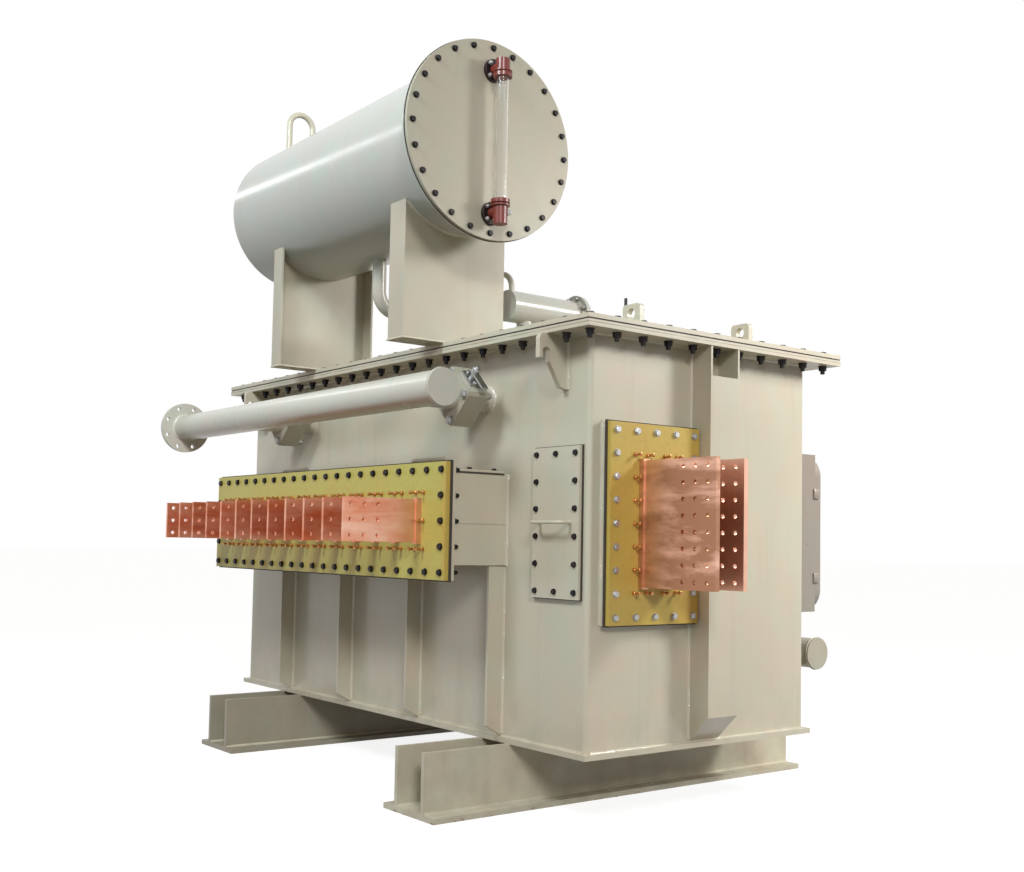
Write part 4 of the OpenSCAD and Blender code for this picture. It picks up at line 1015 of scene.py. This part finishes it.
class TRANSFORMER_OT_duct_welds(WeldOperator, bpy.types.Operator):
    """Make the weld beads of the terminal duct and the end flange, and the ground seams in the duct's
    sides"""

    bl_idname = "transformer.duct_welds"
    bl_label = "Duct and terminal flange welds"
    seed = 22

    def weld(self, beads):
        low, high = corners("terminal_duct")
        beads.frame(low, high, 1, high[1], -Y)
        beads.frame(low, high, 1, low[1], Y)
        flange_low, flange_high = corners("end_terminal_flange")
        beads.frame(flange_low, flange_high, 0, flange_low[0], X)
        beads.piece("duct_welds", "tank_paint")
        ends = [corners("duct_flange")[1][1], high[1]]
        height = (low[2] + high[2]) / 2 - 0.016
        seam = rounded(0.0016, 0.0030, 0.0006)
        add_piece("duct_side_seams", "valve_paint", joined([
            carried([[high[0], y, height] for y in ends], X, Z, seam[::-1]),
            carried([[low[0], y, height] for y in ends], -X, Z, seam),
        ]))


class TRANSFORMER_OT_cover_welds(WeldOperator, bpy.types.Operator):
    """Make the weld beads of what stands on the cover and of the conservator's supports"""

    bl_idname = "transformer.cover_welds"
    bl_label = "Cover and support welds"
    seed = 23

    def weld(self, beads):
        top = corners("cover_plate")[1][2]
        lug = corners("cover_lifting_lugs")[1]
        half_lug = np.array([0.041, 0.010, 0.0])
        for across in (-1, 1):
            for side in (-1, 1):
                middle = (lug - half_lug) * [across, side, 1]
                beads.frame(middle - half_lug, middle + half_lug, 2, top, Z)
        shell = middle_of("conservator_shell")
        for node, way in (("conservator_support_right", 1), ("conservator_support_left", -1)):
            low, high = corners(node)
            beads.frame(low, high, 2, top, Z)
            edge = math.asin((high[1] - low[1]) / 2 / SHELL_RADIUS) - 0.01
            angle = np.linspace(-edge, edge, 110)[:, None]
            radial = Y * np.sin(angle) - Z * np.cos(angle)
            face = high[0] if way > 0 else low[0]
            beads.on(np.array([face, *shell[1:]]) + radial * SHELL_RADIUS, way * X, radial)
        beads.piece("cover_welds", "support_paint")


class TRANSFORMER_OT_pipe_welds(WeldOperator, bpy.types.Operator):
    """Make the weld beads round the oil pipes, stubs, caps and the conservator's hoop"""

    bl_idname = "transformer.pipe_welds"
    bl_label = "Pipe welds"
    seed = 24

    def weld(self, beads):
        stub, pipe, flange_half, flange_thick, cap = 0.0445, 0.057, 0.110, 0.020, 0.008
        wall = -corners("tank_front_wall")[0][1]
        span = corners("butterfly_valves")[1][0] - 0.100
        for node, side in (("front_header_pipe", -1), ("back_header_pipe", 1)):
            low, high = corners(node)
            z = (low[2] + high[2]) / 2
            y = (low[1] if side < 0 else high[1]) - side * flange_half
            beads.ring((low[0] + flange_thick, y, z), X, pipe)
            beads.ring((high[0] - cap, y, z), -X, pipe)
            for across in (-span, span):
                beads.ring((across, side * wall, z), side * Y, stub)
                way = around(Y, 60)
                path = np.array([across, y, z]) + way * stub
                path[:, 1] -= side * np.sqrt(pipe ** 2 - (way[:, 2] * stub) ** 2)
                beads.on(path, way, -side * Y, looped=True)
        cover_top = corners("cover_plate")[1][2]
        high = corners("cover_header_pipe")[1]
        x, y, _ = middle_of("cover_header_pipe")
        feet, foot, header = 0.085, 0.030, 0.0585
        for side in (-feet, feet):
            beads.ring((x, y + side, cover_top), Z, foot)
        beads.ring((x, high[1] - 0.016, high[2] - 0.082), -Y, header)
        x, small_pipe = middle_of("conservator_pipe")[0], 0.027
        beads.ring((x, corners("conservator_pipe")[1][1] - small_pipe, cover_top), Z, small_pipe)
        x, hoop_half, hoop_bar = middle_of("conservator_lifting_hoop")[0], 0.0555, 0.0125
        _, y, z = middle_of("conservator_shell")
        rise = math.sqrt(SHELL_RADIUS ** 2 - hoop_half ** 2)
        for lean in (-hoop_half, hoop_half):
            beads.ring((x, y + lean, z + rise), Z, hoop_bar)
        beads.ring((corners("conservator_shell")[1][0] - 0.012, y, z), -X, SHELL_RADIUS)
        beads.piece("pipe_welds", "pipe_paint")


class TRANSFORMER_OT_skid_welds(WeldOperator, bpy.types.Operator):
    """Make the weld beads between the skids' plates"""

    bl_idname = "transformer.skid_welds"
    bl_label = "Skid welds"
    seed = 25

    def weld(self, beads):
        foot, web, web_thick = 0.018, 0.084, 0.016
        under, base_y = corners("tank_base_plate")[0][2], corners("tank_base_plate")[1][1]
        for node in ("skid_right", "skid_left"):
            middle, end = middle_of(node)[0], corners(node)[1][1] - 0.004
            for side in (-1, 1):
                for face, lean in ((side * web, side), (side * (web - web_thick), -side)):
                    x = middle + face
                    beads.run((x, -end, foot), (x, end, foot), lean * X, Z)
                    beads.run((x, -base_y, under), (x, base_y, under), lean * X, -Z)
        beads.piece("skid_welds", "skid_paint")


def cleared(owner):
    """The emptied node tree of a material or world."""
    owner.use_nodes = True
    owner.node_tree.nodes.clear()
    return owner.node_tree


def looked_at(tree):
    """1 for what the camera, a reflection or glass looks at, and 0 for light on its way."""
    rays = signals(make(tree, "LightPath"))
    mirrored = rays["Is Glossy Ray"].maths("MAXIMUM", rays["Is Transmission Ray"])
    return rays["Is Camera Ray"].maths("MAXIMUM", mirrored)


class TRANSFORMER_OT_stage(DressingOperator, bpy.types.Operator):
    """Set up the camera, the floor and the light"""

    bl_idname = "transformer.stage"
    bl_label = "Camera, floor and light"
    settings = "transformer_stage"

    def build(self, s):
        self.add_camera()
        self.add_floor(s)
        self.add_world(s)
        self.add_lamps(s)
        bpy.context.scene.view_settings.view_transform = "Standard"

    def place(self, name, data, matrix):
        """A camera or lamp put in the scene."""
        carrier = bpy.data.objects.new(name, data)
        carrier.matrix_world = matrix
        bpy.context.scene.collection.objects.link(carrier)
        return carrier

    def add_camera(self):
        """The camera of the photo, as fitted to it."""
        camera = bpy.data.cameras.new("photo_camera")
        camera.sensor_fit = "HORIZONTAL"
        camera.sensor_width = 36.0
        camera.lens = 42.067
        camera.shift_x = -0.00085
        camera.shift_y = 0.03593
        camera.clip_end = 500.0
        right = Vector((0.61299584, 0.78987420, 0.01829892)).normalized()
        ahead = Vector((-0.78932617, 0.61122635, 0.05802191)).normalized()
        up = right.cross(ahead)
        turn = Matrix((ahead.cross(up), up, -ahead)).transposed().to_4x4()
        matrix = Matrix.Translation((3.935407, -2.959258, 0.866853)) @ turn
        bpy.context.scene.camera = self.place("photo_camera", camera, matrix)

    def add_floor(self, s):
        """A wide round floor that the camera sees as white, apart from the shadow on it."""
        reach, thick = 80.0, 0.02
        verts, faces = turned([[0, -thick, 0], [reach, -thick, 0], [reach, 0, 0], [0, 0, 0]], 96)
        mesh = bpy.data.meshes.new("floor")
        mesh.from_pydata(verts.tolist(), [], [face.tolist() for block in faces for face in block])
        material = bpy.data.materials.new("floor")
        tree = cleared(material)
        diffuse = out(make(tree, "BsdfDiffuse", {"Color": s.floor_colour}))
        glow = out(make(tree, "Emission", {"Color": (1.0, 1.0, 1.0), "Strength": s.glow}))
        both = out(make(tree, "AddShader", {0: diffuse, 1: glow}))
        surface = out(make(tree, "MixShader", {0: looked_at(tree), 1: diffuse, 2: both}))
        make(tree, "OutputMaterial", {"Surface": surface})
        mesh.materials.append(material)
        floor = bpy.data.objects.new("floor", mesh)
        bpy.context.scene.collection.objects.link(floor)

    def add_world(self, s):
        """White where the camera, a reflection or glass looks at it, and plain soft light elsewhere."""
        world = bpy.data.worlds.new("studio")
        bpy.context.scene.world = world
        tree = cleared(world)
        strength = ranged(looked_at(tree), 0.0, 1.0, s.sky, 1.0)
        sky = out(make(tree, "Background", {"Color": (1.0, 1.0, 1.0), "Strength": strength}))
        make(tree, "OutputWorld", {"Surface": sky})

    def add_lamps(self, s):
        """A soft key from the end wall's side, a panel before the end wall and one before the front wall,
        and a long strip lamp that the shell and the headers mirror."""
        sun = bpy.data.lights.new("key", "SUN")
        sun.energy = s.sun
        sun.angle = math.radians(12.0)
        self.place("key", sun, Vector((0.80, -0.41, 0.44)).to_track_quat("Z", "Y").to_matrix().to_4x4())
        slanted = Y * 0.866 - X * 0.5
        square = (0.9, 0.9)
        for name, hue, size, spot, target, along in (
            ("end_panel", (1.0, 0.985, 0.96), square, (2.9, 1.9, 2.6), (1.165, 0.0, 0.9), Y),
            ("front_panel", (0.82, 0.93, 1.0), square, (0.9, -3.4, 3.9), (0.2, -0.516, 1.1), X),
            ("strip", (1.0, 1.0, 1.0), (3.5, 0.25), (-4.9, -3.1, 4.5), (0.0, -0.5, 2.0), slanted),
        ):
            lamp = bpy.data.lights.new(name, "AREA")
            lamp.shape = "RECTANGLE"
            lamp.size, lamp.size_y = size
            lamp.energy = getattr(s, name)
            lamp.color = hue
            along = Vector(along).normalized()
            facing = Vector(spot) - Vector(target)
            facing = (facing - along * facing.dot(along)).normalized()
            turn = Matrix((along, facing.cross(along), facing)).transposed().to_4x4()
            self.place(name, lamp, Matrix.Translation(spot) @ turn)


class TRANSFORMER_PT_dressing(bpy.types.Panel):
    """Settings and steps of the dressing"""

    bl_idname = "TRANSFORMER_PT_dressing"
    bl_label = "Transformer dressing"
    bl_space_type = "VIEW_3D"
    bl_region_type = "UI"
    bl_category = "Transformer"

    def draw(self, context):
        for settings in SETTINGS:
            box = self.layout.box()
            group = getattr(context.scene, settings)
            for key in group.bl_rna.properties.keys():
                if key not in {"rna_type", "name"}:
                    box.prop(group, key)
        for operator in OPERATORS:
            self.layout.operator(operator.bl_idname)


SETTINGS = {
    "transformer_finishes": TransformerFinishes,
    "transformer_fasteners": TransformerFasteners,
    "transformer_welds": TransformerWelds,
    "transformer_stage": TransformerStage,
}
OPERATORS = [
    TRANSFORMER_OT_finishes,
    TRANSFORMER_OT_cover_bolts,
    TRANSFORMER_OT_board_bolts,
    TRANSFORMER_OT_clamp_studs,
    TRANSFORMER_OT_conservator_bolts,
    TRANSFORMER_OT_valve_fasteners,
    TRANSFORMER_OT_gauge_fasteners,
    TRANSFORMER_OT_gasket_edges,
    TRANSFORMER_OT_cover_header_bolts,
    TRANSFORMER_OT_cabinet_clips,
    TRANSFORMER_OT_tank_welds,
    TRANSFORMER_OT_duct_welds,
    TRANSFORMER_OT_cover_welds,
    TRANSFORMER_OT_pipe_welds,
    TRANSFORMER_OT_skid_welds,
    TRANSFORMER_OT_stage,
]
CLASSES = [*SETTINGS.values(), *OPERATORS, TRANSFORMER_PT_dressing]


def register():
    for kind in CLASSES:
        bpy.utils.register_class(kind)
    for name, group in SETTINGS.items():
        setattr(bpy.types.Scene, name, bpy.props.PointerProperty(type=group))


def unregister():
    for name in SETTINGS:
        delattr(bpy.types.Scene, name)
    for kind in reversed(CLASSES):
        bpy.utils.unregister_class(kind)


def main():
    """Builds everything in order."""
    register()
    for operator in OPERATORS:
        family, name = operator.bl_idname.split(".")
        getattr(getattr(bpy.ops, family), name)()


if __name__ == "__main__":
    main()
